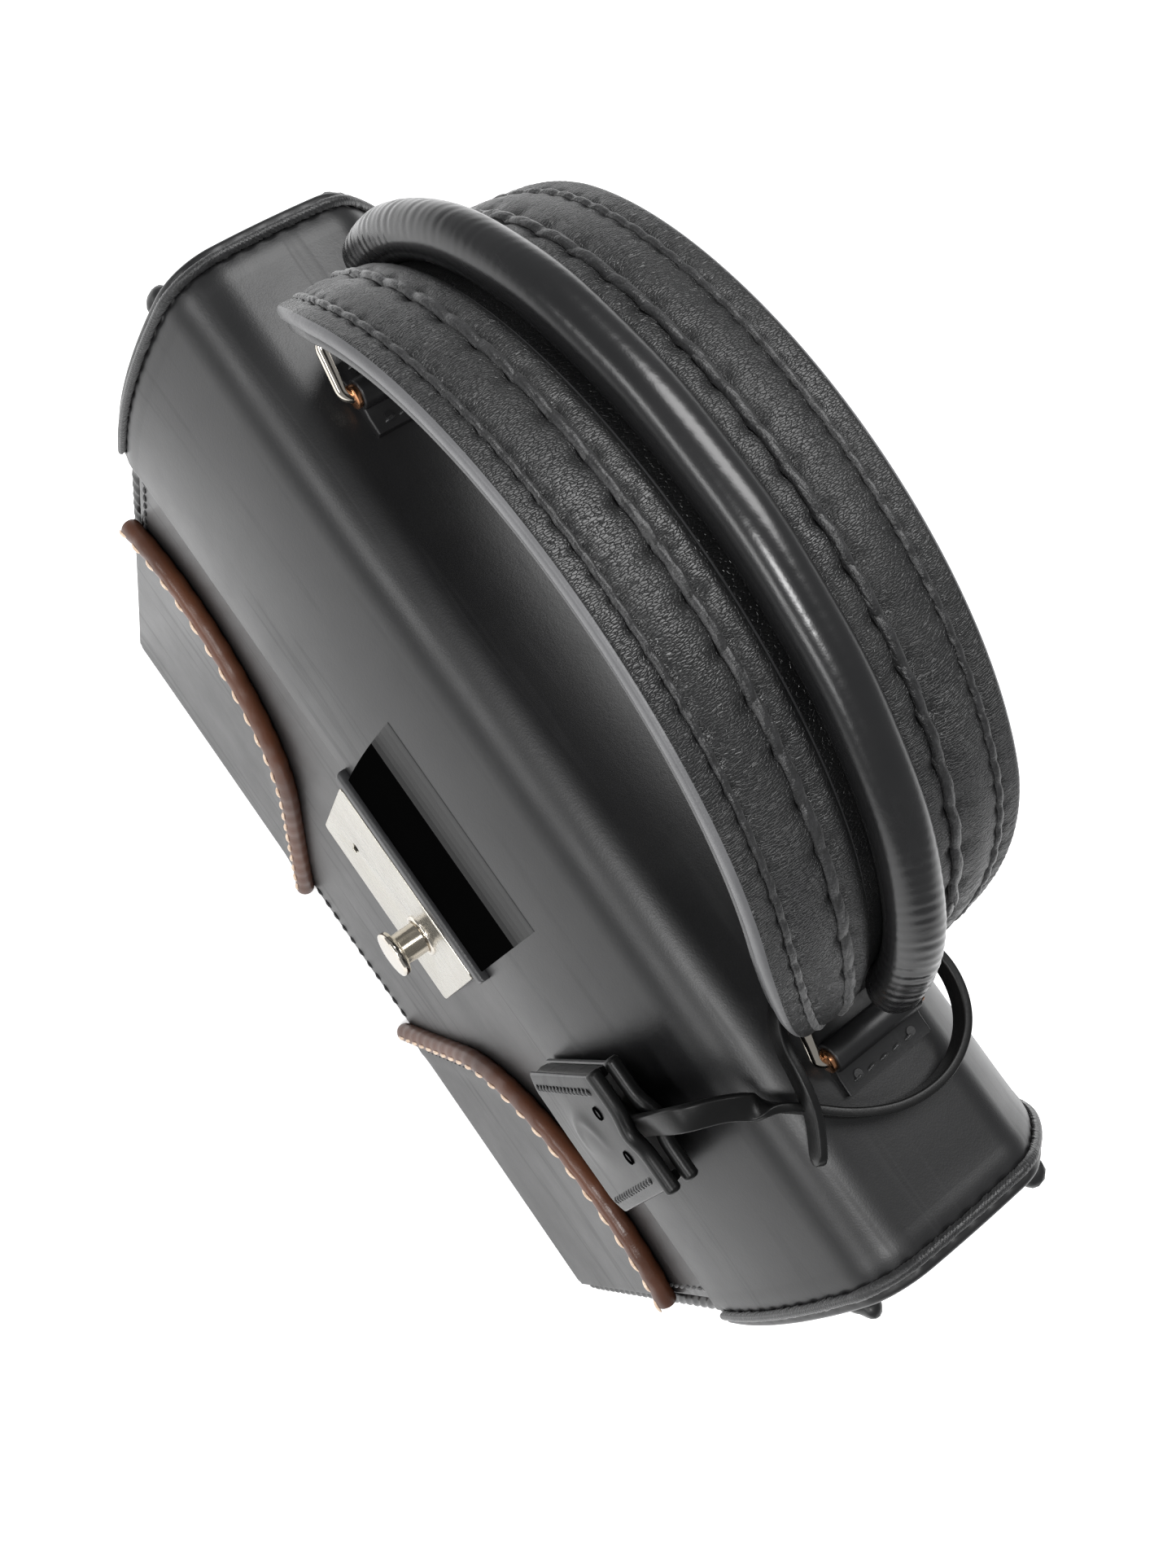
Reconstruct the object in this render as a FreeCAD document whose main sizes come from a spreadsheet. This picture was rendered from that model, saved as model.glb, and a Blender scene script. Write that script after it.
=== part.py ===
"""Structured top-handle handbag in box calf, as a FreeCAD document.

Frame: millimetres, +Z up, origin at the middle of the base's underside.
X runs across the bag, -Y is the front (the lock side), +Y is the back.
"""
import FreeCAD, Part
import Sketcher
import math
import os
import re

V = FreeCAD.Vector
X_AXIS, Y_AXIS, Z_AXIS = V(1, 0, 0), V(0, 1, 0), V(0, 0, 1)

# name, value in mm (degrees where the name says so), what it is
SIZES = [
    ("bag_width", 225, "body, outside of one gusset to the other"),
    ("bag_depth", 70, "body, front panel to back panel, outside"),
    ("lid_height", 184, "base to the top of the flap"),
    ("flap_edge_height", 121, "base to the flap's front edge"),
    ("hinge_height", 145, "base to the fold line at the back"),
    ("front_drop", 34, "lid top to the front panel's top edge"),
    ("side_start", 125, "height where front and back start to lean in"),
    ("side_radius", 130, "radius of the leaning front"),
    ("shoulder_radius", 15, "radius of the lid's front shoulder"),
    ("rear_radius", 80, "radius of the leaning back"),
    ("rear_shoulder", 10, "radius of the lid's rear shoulder"),
    ("crown_radius", 170, "radius of the lid's top"),
    ("leather", 2.2, "panel leather"),
    ("board", 1.2, "stiffening board"),
    ("suede", 0.8, "lining"),
    ("base_thick", 3, "base panel"),
    ("skin_gap", 0.4, "clearance between flap and body"),
    ("flap_overhang", 4, "flap beyond the gusset at each end"),
    ("welt_radius", 1.8, "corner seam welt"),
    ("welt_knot", 3.2, "radius of the lump where a welt ends"),
    ("welt_out", 3.4, "lump beyond its welt, sideways"),
    ("patch_thick", 1.8, "corner patch"),
    ("patch_radius", 50, "round top of the corner patch"),
    ("patch_centre_x", 88, "patch arc centre from the middle"),
    ("patch_centre_z", 41, "patch arc centre above the base"),
    ("patch_foot_x", 24.7, "patch outline at the base, from the middle"),
    ("piping_radius", 2.6, "rolled piping"),
    ("lock_width", 51, "lock case"),
    ("lock_low", 83, "lock case, lower edge"),
    ("lock_high", 118, "lock case, upper edge"),
    ("lock_depth", 3.2, "lock case behind its plate"),
    ("lock_wall", 1.2, "lock case wall"),
    ("plate_thick", 1.5, "lock front plate"),
    ("button_x", 10.5, "push button, from the middle"),
    ("button_z", 101, "push button, above the base"),
    ("button_radius", 5.6, "push button head"),
    ("button_head", 1.8, "push button head thickness"),
    ("button_neck", 3.9, "push button neck radius"),
    ("button_stem", 1.6, "push button stem radius"),
    ("button_reach", 8.4, "plate to the button's face"),
    ("button_travel", 3, "push button stroke"),
    ("key_x", -15, "keyhole, from the middle"),
    ("key_z", 97, "keyhole, above the base"),
    ("key_hole", 1.3, "keyhole radius"),
    ("bolt_travel", 2.6, "latch bolt stroke"),
    ("fit", 0.25, "clearance of moving lock parts"),
    ("screw_radius", 0.9, "lock case screws and chape studs, shank"),
    ("screw_head", 1.8, "lock case screws and chape studs, head radius"),
    ("head_thick", 0.8, "screw and stud head thickness"),
    ("rivet_radius", 0.6, "strike rivets"),
    ("rivet_length", 5, "strike rivets"),
    ("tongue_width", 20, "strike tongue"),
    ("tongue_thick", 1.2, "strike tongue"),
    ("tongue_reach", 3, "strike tongue below the case's rim"),
    ("lip_proud", 2.4, "leather lip above the lock, proud of the flap"),
    ("lip_height", 18, "leather lip above the lock"),
    ("ring_x", 75, "handle ring, from the middle"),
    ("ring_width", 26, "handle ring along Y, bar centres"),
    ("ring_height", 12, "handle ring, lower bar to upper bar"),
    ("ring_wire", 1.2, "handle ring wire radius"),
    ("ring_rise", 3.6, "lid top to the ring's lower bar"),
    ("ring_lean", 60, "rings leaning to -X at rest, in degrees"),
    ("chape_width", 21, "chape along Y"),
    ("chape_length", 16, "chape along X"),
    ("stud_length", 6.4, "chape studs"),
    ("handle_half", 78, "handle, middle to the band's outer face"),
    ("handle_rise", 57, "handle, spring line to the band's top"),
    ("handle_width", 57, "handle band at its top, along Y"),
    ("band_thick", 2.6, "handle upper band"),
    ("underband_thick", 2.2, "handle lower band"),
    ("roll_radius", 5, "padded roll"),
    ("core_radius", 2.5, "rope core in the roll"),
    ("bell_width", 35, "key bell, lower edge"),
    ("bell_top_width", 25, "key bell, upper edge"),
    ("bell_height", 40, "key bell"),
    ("bell_leather", 1.6, "key bell leather"),
    ("bell_gap", 3.6, "room between the bell's leathers"),
    ("bell_low", 128, "key bell, lower edge above the base"),
    ("bell_x", 66, "key bell, from the middle"),
    ("bell_off", 1.6, "key bell off the flap's front face"),
    ("strap_radius", 1.5, "strap, as a round cord"),
    ("key_thick", 1.26, "key blade"),
    ("key_length", 26, "key, from its bow's middle to the tip"),
    ("key_bow", 4, "key bow radius"),
    ("key_loop", 2.4, "split ring, centreline radius"),
]

doc = FreeCAD.newDocument("handbag")
sheet = doc.addObject("Spreadsheet::Sheet", "dims")
for row, (alias, value, note) in enumerate(SIZES, start=1):
    sheet.set(f"A{row}", alias)
    sheet.set(f"B{row}", str(value))
    sheet.set(f"C{row}", note)
    sheet.setAlias(f"B{row}", alias)
doc.recompute()

ALIASES = {alias for alias, value, note in SIZES}
subparts = []


def dim(alias):
    """A driving size, read from the sheet."""
    return float(sheet.get(alias))


def formula(text):
    """An expression in aliases, as FreeCAD wants it: each alias under dims."""
    return re.sub(r"[a-z_]+", lambda m: "dims." + m[0] if m[0] in ALIASES else m[0], text)


def keep(obj, label):
    """Register an object as a sub-part under its own label."""
    obj.Label = label
    subparts.append(obj)
    return obj


def solid(label, shape):
    """A sub-part whose shape no single feature makes."""
    obj = doc.addObject("Part::Feature", label)
    pieces = shape.Solids
    obj.Shape = pieces[0] if len(pieces) == 1 else Part.makeCompound(pieces)
    return keep(obj, label)


def drill(labels, tools):
    """Cut tools out of sub-parts already made."""
    for obj in subparts:
        if obj.Label in labels:
            shape = obj.Shape
            for tool in tools:
                shape = shape.cut(tool)
            obj.Shape = shape.Solids[0]


# ---------------------------------------------------------------- parametric helpers

def bound_box(name, x, y, z):
    """Part::Box between two corners; each argument is a (low, high) pair of formulas."""
    box = doc.addObject("Part::Box", name)
    for prop, (low, high) in zip(("Length", "Width", "Height"), (x, y, z)):
        box.setExpression(prop, formula(f"({high}) - ({low})"))
    for axis, (low, high) in zip("xyz", (x, y, z)):
        box.setExpression(f"Placement.Base.{axis}", formula(low))
    return box


def bound_pin(name, at, radius, length):
    """Part::Cylinder from the point `at` (formulas), towards +Y."""
    pin = doc.addObject("Part::Cylinder", name)
    pin.setExpression("Radius", formula(radius))
    pin.setExpression("Height", formula(length))
    pin.Placement = FreeCAD.Placement(V(0, 0, 0), FreeCAD.Rotation(X_AXIS, -90))
    for axis, text in zip("xyz", at):
        pin.setExpression(f"Placement.Base.{axis}", formula(text))
    return pin


def cut(name, base, tools):
    """base minus every tool, as Part::Cut features."""
    for number, tool in enumerate(tools):
        step = doc.addObject("Part::Cut", f"{name}_cut{number}")
        step.Base, step.Tool = base, tool
        base = step
    return base


def fuse(name, objects):
    joined = doc.addObject("Part::MultiFuse", f"{name}_all")
    joined.Shapes = objects
    return joined


def origin_plane(body, role):
    return next(f for f in body.Origin.OriginFeatures if f.Role == role)


def outline(body, role, points):
    """A closed sketch of straight sides, each corner held by two bound distances."""
    sketch = body.newObject("Sketcher::SketchObject", body.Name + "_outline")
    sketch.AttachmentSupport = [(origin_plane(body, role), "")]
    sketch.MapMode = "FlatFace"
    corners = [tuple(value_of(part) for part in point) for point in points]
    for here, there in zip(corners, corners[1:] + corners[:1]):
        sketch.addGeometry(Part.LineSegment(V(*here, 0), V(*there, 0)), False)
    for side in range(len(points)):
        follower = (side + 1) % len(points)
        sketch.addConstraint(Sketcher.Constraint("Coincident", side, 2, follower, 1))
    for side, point in enumerate(points):
        for kind, text, value in zip(("DistanceX", "DistanceY"), point, corners[side]):
            where = sketch.addConstraint(Sketcher.Constraint(kind, -1, 1, side, 1, value))
            sketch.setExpression(f"Constraints[{where}]", formula(text))
    return sketch


def value_of(text):
    """The present value of a formula."""
    return float(sheet.evalExpression(formula(text)))


def turned(label, points, at):
    """PartDesign revolution about Y: points are (radius, y) formulas, at is the axis place."""
    body = doc.addObject("PartDesign::Body", label)
    sketch = outline(body, "XY_Plane", points)
    turn = body.newObject("PartDesign::Revolution", label + "_turn")
    turn.Profile = sketch
    turn.ReferenceAxis = (sketch, ["V_Axis"])
    turn.Angle = 360
    for axis, text in zip("xyz", at):
        body.setExpression(f"Placement.Base.{axis}", formula(text))
    return keep(body, label)


# ---------------------------------------------------------------- the loaf profile

HALF = dim("bag_depth") / 2
BODY_OFF = dim("leather") + dim("skin_gap")      # flap's outer face to the body's
FLAP_HALF = HALF + BODY_OFF
INNER_OFF = BODY_OFF + dim("leather")            # flap's outer face to the panel's inner face
CROWN_CENTRE = V(0, 0, dim("lid_height") - dim("crown_radius"))


def as_drawn(point):
    return point


def mirror_y(point):
    return V(point.x, -point.y, point.z)


def arc_between(centre, radius, start, end):
    """Arc in the YZ plane about centre between two points on it, the short way."""
    middle = ((start - centre) + (end - centre)) / 2
    middle = centre + middle / middle.Length * radius
    return Part.Arc(start, middle, end).toShape()


class Half:
    """One half of the loaf's outline, drawn at the front: a leaning side, then a shoulder."""

    def __init__(self, side_radius, shoulder_radius, turn):
        self.side_radius, self.shoulder_radius = side_radius, shoulder_radius
        self.turn = turn
        self.side = V(0, side_radius - FLAP_HALF, dim("side_start"))
        self.shoulder = self.shoulder_centre()

    def shoulder_centre(self):
        """Centre of the arc that touches the leaning side and the crown from inside."""
        r_near = self.side_radius - self.shoulder_radius
        r_far = dim("crown_radius") - self.shoulder_radius
        gap = CROWN_CENTRE - self.side
        along = (gap.Length ** 2 + r_near ** 2 - r_far ** 2) / (2 * gap.Length)
        aside = math.sqrt(r_near ** 2 - along ** 2)
        unit = gap / gap.Length
        normal = V(0, -unit.z, unit.y)
        spots = [self.side + unit * along + normal * sign * aside for sign in (-1, 1)]
        return max(spots, key=lambda spot: spot.z)

    def points(self, offset):
        """Tangent points at an inward offset: foot of the side, its top, end of the crown."""
        side_top = self.shoulder - self.side
        side_top = self.side + side_top / side_top.Length * (self.side_radius - offset)
        crown_end = self.shoulder - CROWN_CENTRE
        crown_end = CROWN_CENTRE + crown_end / crown_end.Length * (dim("crown_radius") - offset)
        spring = V(0, offset - FLAP_HALF, dim("side_start"))
        return [self.turn(point) for point in (spring, side_top, crown_end)]

    def side_arc(self, offset):
        spring, side_top, crown_end = self.points(offset)
        return arc_between(self.turn(self.side), self.side_radius - offset, spring, side_top)

    def shoulder_arc(self, offset):
        spring, side_top, crown_end = self.points(offset)
        return arc_between(self.turn(self.shoulder), self.shoulder_radius - offset,
                           side_top, crown_end)


FRONT_HALF = Half(dim("side_radius"), dim("shoulder_radius"), as_drawn)
REAR_HALF = Half(dim("rear_radius"), dim("rear_shoulder"), mirror_y)


def loaf(offset, low, x_low, x_high):
    """The lid's loaf shape, as a solid from height `low`, at an inward offset."""
    front, rear = FRONT_HALF.points(offset), REAR_HALF.points(offset)
    feet = [V(0, points[0].y, low) for points in (front, rear)]
    crown_mid = V(0, 0, dim("lid_height") - offset)
    edges = [
        Part.makeLine(feet[0], front[0]),
        FRONT_HALF.side_arc(offset),
        FRONT_HALF.shoulder_arc(offset),
        Part.Arc(front[2], crown_mid, rear[2]).toShape(),
        REAR_HALF.shoulder_arc(offset),
        REAR_HALF.side_arc(offset),
        Part.makeLine(rear[0], feet[1]),
        Part.makeLine(feet[1], feet[0]),
    ]
    face = Part.Face(Part.Wire(edges))
    face.translate(V(x_low, 0, 0))
    return face.extrude(V(x_high - x_low, 0, 0))


def slab(x, y, z):
    """A plain box between (low, high) pairs."""
    return Part.makeBox(x[1] - x[0], y[1] - y[0], z[1] - z[0], V(x[0], y[0], z[0]))


def shell(outer, inner, x, y, z):
    """The skin between two loaf offsets, kept inside a box."""
    skin = loaf(outer, 0, *x).cut(loaf(inner, 0, x[0] - 1, x[1] + 1))
    return skin.common(slab(x, y, z))


WIDE = FLAP_HALF + 1
TOP = dim("lid_height") + 1
GUSSET_X = dim("bag_width") / 2                       # gusset's outer face
GUSSET_IN = GUSSET_X - dim("leather")
PANEL_X = (-GUSSET_X, GUSSET_X)
CAVITY_X = (-GUSSET_IN, GUSSET_IN)
FLOOR = dim("base_thick")
FRONT = (-WIDE, 0)
BACK = (0, WIDE)
BOARD_OFF = INNER_OFF + dim("board")
LINING_OFF = BOARD_OFF + dim("suede")
BACK_TOP = dim("hinge_height") - dim("skin_gap")
FRONT_TOP = dim("lid_height") - dim("front_drop")


# ---------------------------------------------------------------- lock openings in the panels

LOCK_X = dim("lock_width") / 2
STEM_HOLE = dim("button_stem") + dim("fit")


def lock_openings():
    """Round holes for the button stem and the key through panel, board and lining."""
    deep = 12
    stem = Part.makeCylinder(STEM_HOLE + 2, deep,
                             V(dim("button_x"), -HALF - 1, dim("button_z")), Y_AXIS)
    key = Part.makeCylinder(dim("key_hole") + 2.5, deep,
                            V(dim("key_x"), -HALF - 1, dim("key_z")), Y_AXIS)
    return stem.fuse(key)


# ---------------------------------------------------------------- body shell

def build_body():
    base = bound_box("base_block", ("-bag_width / 2", "bag_width / 2"),
                     ("-bag_depth / 2", "bag_depth / 2"), ("0", "base_thick"))
    doc.recompute()
    rounded = doc.addObject("Part::Fillet", "base_rounded")
    rounded.Base = base
    upright = [n + 1 for n, edge in enumerate(base.Shape.Edges)
               if edge.BoundBox.ZLength > dim("base_thick") / 2]
    rounded.Edges = [(number, dim("leather"), dim("leather")) for number in upright]
    keep(rounded, "base_panel")

    holes = lock_openings()
    front = shell(BODY_OFF, INNER_OFF, PANEL_X, FRONT, (FLOOR, FRONT_TOP))
    solid("front_panel", front.cut(holes))
    solid("back_panel", shell(BODY_OFF, INNER_OFF, PANEL_X, BACK, (FLOOR, BACK_TOP)))
    for side, x in (("left", (-GUSSET_X, -GUSSET_IN)), ("right", (GUSSET_IN, GUSSET_X))):
        solid(f"gusset_{side}", loaf(INNER_OFF, FLOOR, *x))

    edge = 3                                    # boards stop short of the turned-over rims
    board_x = (-GUSSET_IN + edge, GUSSET_IN - edge)
    front_board = shell(INNER_OFF, BOARD_OFF, board_x, FRONT,
                        (FLOOR + dim("board"), FRONT_TOP - edge))
    solid("front_board", front_board.cut(holes))
    solid("back_board", shell(INNER_OFF, BOARD_OFF, board_x, BACK,
                              (FLOOR + dim("board"), BACK_TOP - edge)))
    inner_y = HALF - dim("leather")
    solid("base_board", slab(CAVITY_X, (-inner_y, inner_y), (FLOOR, FLOOR + dim("board"))))

    low = FLOOR + dim("board")
    lining_front = shell(BOARD_OFF, LINING_OFF, CAVITY_X, FRONT, (low, FRONT_TOP - edge))
    solid("lining_front", lining_front.cut(holes))
    solid("lining_back", shell(BOARD_OFF, LINING_OFF, CAVITY_X, BACK, (low, BACK_TOP - edge)))
    for side, sign in (("left", -1), ("right", 1)):
        x = sorted((sign * GUSSET_IN, sign * (GUSSET_IN - dim("suede"))))
        solid(f"lining_{side}", loaf(LINING_OFF, low, *x))
    lining_y = inner_y - dim("board") - dim("suede")
    lining_x = GUSSET_IN - dim("suede")
    solid("lining_base", slab((-lining_x, lining_x), (-lining_y, lining_y),
                              (low, low + dim("suede"))))


# ---------------------------------------------------------------- corner patches and piping

def patch_arc():
    """Tangent point and end of the patch outline's arc, for the right-hand patch."""
    centre = V(dim("patch_centre_x"), 0, dim("patch_centre_z"))
    foot = V(dim("patch_foot_x"), 0, 0)
    reach = centre - foot
    aim = math.atan2(reach.z, reach.x) + math.asin(dim("patch_radius") / reach.Length)
    run = math.sqrt(reach.Length ** 2 - dim("patch_radius") ** 2)
    touch = foot + V(math.cos(aim), 0, math.sin(aim)) * run
    over = GUSSET_X - dim("patch_centre_x")
    end = centre + V(over, 0, math.sqrt(dim("patch_radius") ** 2 - over ** 2))
    return centre, foot, touch, end


def patch_outline(side, inset, low):
    """Edges of the patch's curved side, moved inward by inset; side is -1 or 1."""
    centre, foot, touch, end = patch_arc()
    out = (touch - centre) / dim("patch_radius")
    radius = dim("patch_radius") - inset
    touch_in = centre + out * radius
    foot_in = foot - out * inset
    slope = (touch_in - foot_in) / (touch_in - foot_in).Length
    foot_in = foot_in + slope * ((low - foot_in.z) / slope.z)
    over = end.x - centre.x
    end_in = centre + V(over, 0, math.sqrt(radius ** 2 - over ** 2))
    crest = centre + V(-math.sin(0.35), 0, math.cos(0.35)) * radius

    def place(point):
        return V(side * point.x, 0, point.z)

    line = Part.makeLine(place(foot_in), place(touch_in))
    arc = Part.Arc(place(touch_in), place(crest), place(end_in)).toShape()
    return line, arc, place(foot_in), place(end_in)


def build_patches():
    gap = 0.1
    for name, side in (("left", -1), ("right", 1)):
        line, arc, foot, end = patch_outline(side, dim("piping_radius") + gap, 0)
        corner = V(side * GUSSET_X, 0, 0)
        rim = Part.Wire([line, arc, Part.makeLine(end, corner), Part.makeLine(corner, foot)])
        patch = Part.Face(rim).extrude(V(0, -dim("patch_thick"), 0))
        patch.translate(V(0, -HALF, 0))
        solid(f"patch_{name}", patch)

        line, arc, foot, end = patch_outline(side, 0, dim("piping_radius"))
        path = Part.Wire([line, arc])
        ring = Part.Wire(Part.makeCircle(dim("piping_radius"), foot, line.tangentAt(0)))
        pipe = path.makePipeShell([ring], True, True)
        pipe.translate(V(0, -HALF - dim("piping_radius"), 0))
        keepout = slab((-GUSSET_X, GUSSET_X), (-WIDE - 9, -HALF), (0, TOP))
        solid(f"piping_{name}", pipe.common(keepout))


# ---------------------------------------------------------------- corner seam welts

def build_welts():
    """A rolled welt up each corner, following the gusset's edge, with a lump at its end."""
    off = BODY_OFF + dim("welt_radius")
    x = GUSSET_X + dim("welt_radius") + 0.05
    for place, half in (("front", FRONT_HALF), ("rear", REAR_HALF)):
        spring, side_top, crown_end = half.points(off)
        foot = V(0, spring.y, dim("welt_radius"))
        line = Part.makeLine(foot, spring)
        ring = Part.Wire(Part.makeCircle(dim("welt_radius"), foot, Z_AXIS))
        rope = Part.Wire([line, half.side_arc(off)]).makePipeShell([ring], True, True)
        inward = (half.turn(half.side) - side_top).normalize() * (dim("welt_knot") - dim("welt_radius"))
        lump = Part.makeSphere(dim("welt_knot"), side_top + inward + V(dim("welt_out"), 0, 0))
        welt = rope.fuse(lump).removeSplitter()
        welt.translate(V(x, 0, 0))
        solid(f"welt_{place}_right", welt)
        solid(f"welt_{place}_left", welt.mirror(V(0, 0, 0), X_AXIS))


# ---------------------------------------------------------------- lock on the body

CASE_Y = f"(-bag_depth / 2 - lock_depth)"        # case's front rim
PLATE_Y = f"(-bag_depth / 2 - lock_depth - plate_thick)"
BACK_OF_CASE = "(-bag_depth / 2)"


def coil_spring(start, axis, length, radius, wire):
    """An open coil of four turns from `start` along `axis`."""
    run = length - 2 * wire
    coil = Part.makeLongHelix(run / 4, run, radius)
    thread = Part.Wire(Part.makeCircle(wire, V(radius, 0, 0), Y_AXIS))
    spring = Part.Wire(coil).makePipeShell([thread], True, True)
    turn = FreeCAD.Rotation(Z_AXIS, axis)
    spring.Placement = FreeCAD.Placement(start + axis * wire, turn)
    return spring


def build_lock():
    half = "lock_width / 2"
    outer = bound_box("case_outer", (f"-{half}", half), (CASE_Y, BACK_OF_CASE),
                      ("lock_low", "lock_high"))
    hollow = bound_box("case_hollow", (f"-{half} + lock_wall", f"{half} - lock_wall"),
                       (f"{CASE_Y} - 1", f"{BACK_OF_CASE} - 0.3"),
                       ("lock_low + lock_wall", "lock_high - lock_wall"))
    mouth = bound_box("case_mouth", ("-tongue_width / 2 - 1", "tongue_width / 2 + 1"),
                      (f"{CASE_Y} - 1", f"{BACK_OF_CASE} - 0.3"),
                      ("lock_high - lock_wall - 1", "lock_high + 1"))
    stem = bound_pin("case_stem_hole", ("button_x", "-bag_depth", "button_z"),
                     "button_stem + fit", "bag_depth")
    key = bound_pin("case_key_hole", ("key_x", "-bag_depth", "key_z"),
                    "key_hole + fit", "bag_depth")
    keep(cut("case", outer, [hollow, mouth, stem, key]), "lock_case")

    face = bound_box("plate_face", (f"-{half}", half), (PLATE_Y, CASE_Y),
                     ("lock_low", "lock_high"))
    neck = bound_pin("plate_neck_hole", ("button_x", "-bag_depth", "button_z"),
                     "button_neck + 0.8", "bag_depth")
    round_key = bound_pin("plate_key_hole", ("key_x", "-bag_depth", "key_z"),
                          "key_hole", "bag_depth")
    slot = bound_box("plate_key_slot", ("key_x - key_hole / 2", "key_x + key_hole / 2"),
                     (f"{PLATE_Y} - 1", f"{CASE_Y} + 1"),
                     ("key_z - 3 * key_hole", "key_z"))
    keep(cut("plate", face, [neck, round_key, slot]), "lock_plate")

    bush = [("button_neck + fit", "0"), ("button_neck + 0.8", "0"),
            ("button_neck + 0.8", "plate_thick"), ("button_neck + fit", "plate_thick")]
    turned("button_bush", bush, ("button_x", PLATE_Y, "button_z"))

    # push button: domed head, neck, and a thinner stem that runs through the case
    head_y = "-button_reach"
    button = [("0", head_y), ("button_radius - 0.6", head_y),
              ("button_radius", f"{head_y} + 0.5"), ("button_radius", f"{head_y} + button_head"),
              ("button_neck", f"{head_y} + button_head"), ("button_neck", "0.2"),
              ("button_stem", "0.2"), ("button_stem", "plate_thick + lock_depth + 3"),
              ("0", "plate_thick + lock_depth + 3")]
    turned("push_button", button, ("button_x", PLATE_Y, "button_z"))

    # spring cup behind the front board, spring round the stem's tail
    cup_y = "(-bag_depth / 2 + leather + board + suede)"
    cup_r = "button_stem + 3.2"
    cup_in, cup_out = "(button_travel + 4.4)", "(button_travel + 5.2)"
    cup = [("0", cup_in), ("0", cup_out), (cup_r, cup_out), (cup_r, "0"),
           (f"{cup_r} - 0.8", "0"), (f"{cup_r} - 0.8", cup_in)]
    turned("spring_cup", cup, ("button_x", cup_y, "button_z"))
    washer = [("0", "0.2"), ("button_stem + 2", "0.2"), ("button_stem + 2", "1"), ("0", "1")]
    stem_end = "(-bag_depth / 2 + 3)"
    turned("button_washer", washer, ("button_x", stem_end, "button_z"))
    spring_y = value_of(stem_end) + 1.1
    end_y = value_of(f"{cup_y} + {cup_in}") - 0.1
    start = V(dim("button_x"), spring_y, dim("button_z"))
    solid("button_spring", coil_spring(start, Y_AXIS, end_y - spring_y,
                                       dim("button_stem") + 1, 0.3))

    # latch bolt: slides along X in the tongue's layer, its nose in the tongue's notch
    layer = (f"{BACK_OF_CASE} - 0.3 - fit - tongue_thick", f"{BACK_OF_CASE} - 0.3 - fit")
    nose_low = "lock_high - tongue_reach + 0.9"
    nose_x = "tongue_width / 2 - (bolt_travel - 0.6)"
    tail = "tongue_width / 2 + 9"
    nose_z = (nose_low, f"{nose_low} + 0.8")
    nose = bound_box("bolt_nose", (nose_x, "tongue_width / 2 + 6"), layer, nose_z)
    block = bound_box("bolt_block", ("tongue_width / 2 + 2", tail), layer,
                      ("button_z + button_stem + 1.5", nose_z[1]))
    keep(fuse("bolt", [nose, block]), "latch_bolt")

    # lever that the key turns: a round hub behind the keyhole with an arm
    lever_y = (f"{CASE_Y} + 0.4", f"{CASE_Y} + 1.4")
    hub = bound_pin("lever_hub", ("key_x", lever_y[0], "key_z"), "key_hole + 1.2", "1")
    arm = bound_box("lever_arm", ("key_x - 1", "key_x + 1"), lever_y, ("key_z", "key_z + 7"))
    eye = bound_pin("lever_eye", ("key_x", "-bag_depth", "key_z"), "key_hole * 0.5", "bag_depth")
    keep(cut("lever", fuse("lever", [hub, arm]), [eye]), "key_lever")

    # bolt spring: between the bolt's tail and the case's end wall
    tail_x = value_of(tail) + 0.05
    wall_x = LOCK_X - dim("lock_wall") - 0.05
    layer_y = value_of(f"({CASE_Y} + {BACK_OF_CASE} - 0.3) / 2")
    solid("bolt_spring", coil_spring(V(tail_x, layer_y, value_of("button_z + button_stem + 4")),
                                     X_AXIS, wall_x - tail_x, 0.8, 0.2))

    screws = []
    for sx in (-1, 1):
        for z in ("lock_low + 5", "button_z - 2"):
            at = V(sx * (LOCK_X - 4), -HALF - 0.3, value_of(z))
            grip = dim("leather") + dim("board") + dim("suede") + 0.3
            shank = Part.makeCylinder(dim("screw_radius"), grip, at, Y_AXIS)
            head = Part.makeCylinder(dim("screw_head"), dim("head_thick"),
                                     at - V(0, dim("head_thick"), 0), Y_AXIS)
            screws.append(shank.fuse(head).removeSplitter())
    return screws


def fit_screws(screws):
    """Case screws go through panel, board and lining, each in its own drilled hole."""
    drill(("front_panel", "front_board", "lining_front"), screws)
    case = next(obj for obj in subparts if obj.Label == "lock_case")
    drilled = case.Shape
    for screw in screws:
        drilled = drilled.cut(screw)
    subparts.remove(case)
    case.Label = "case_undrilled"
    solid("lock_case", drilled)
    solid("case_screws", Part.makeCompound(screws))


# ---------------------------------------------------------------- flap

FLAP_X = GUSSET_X + dim("flap_overhang")
LINING_DROP = 6                                   # flap lining stops short of the edges


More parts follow.
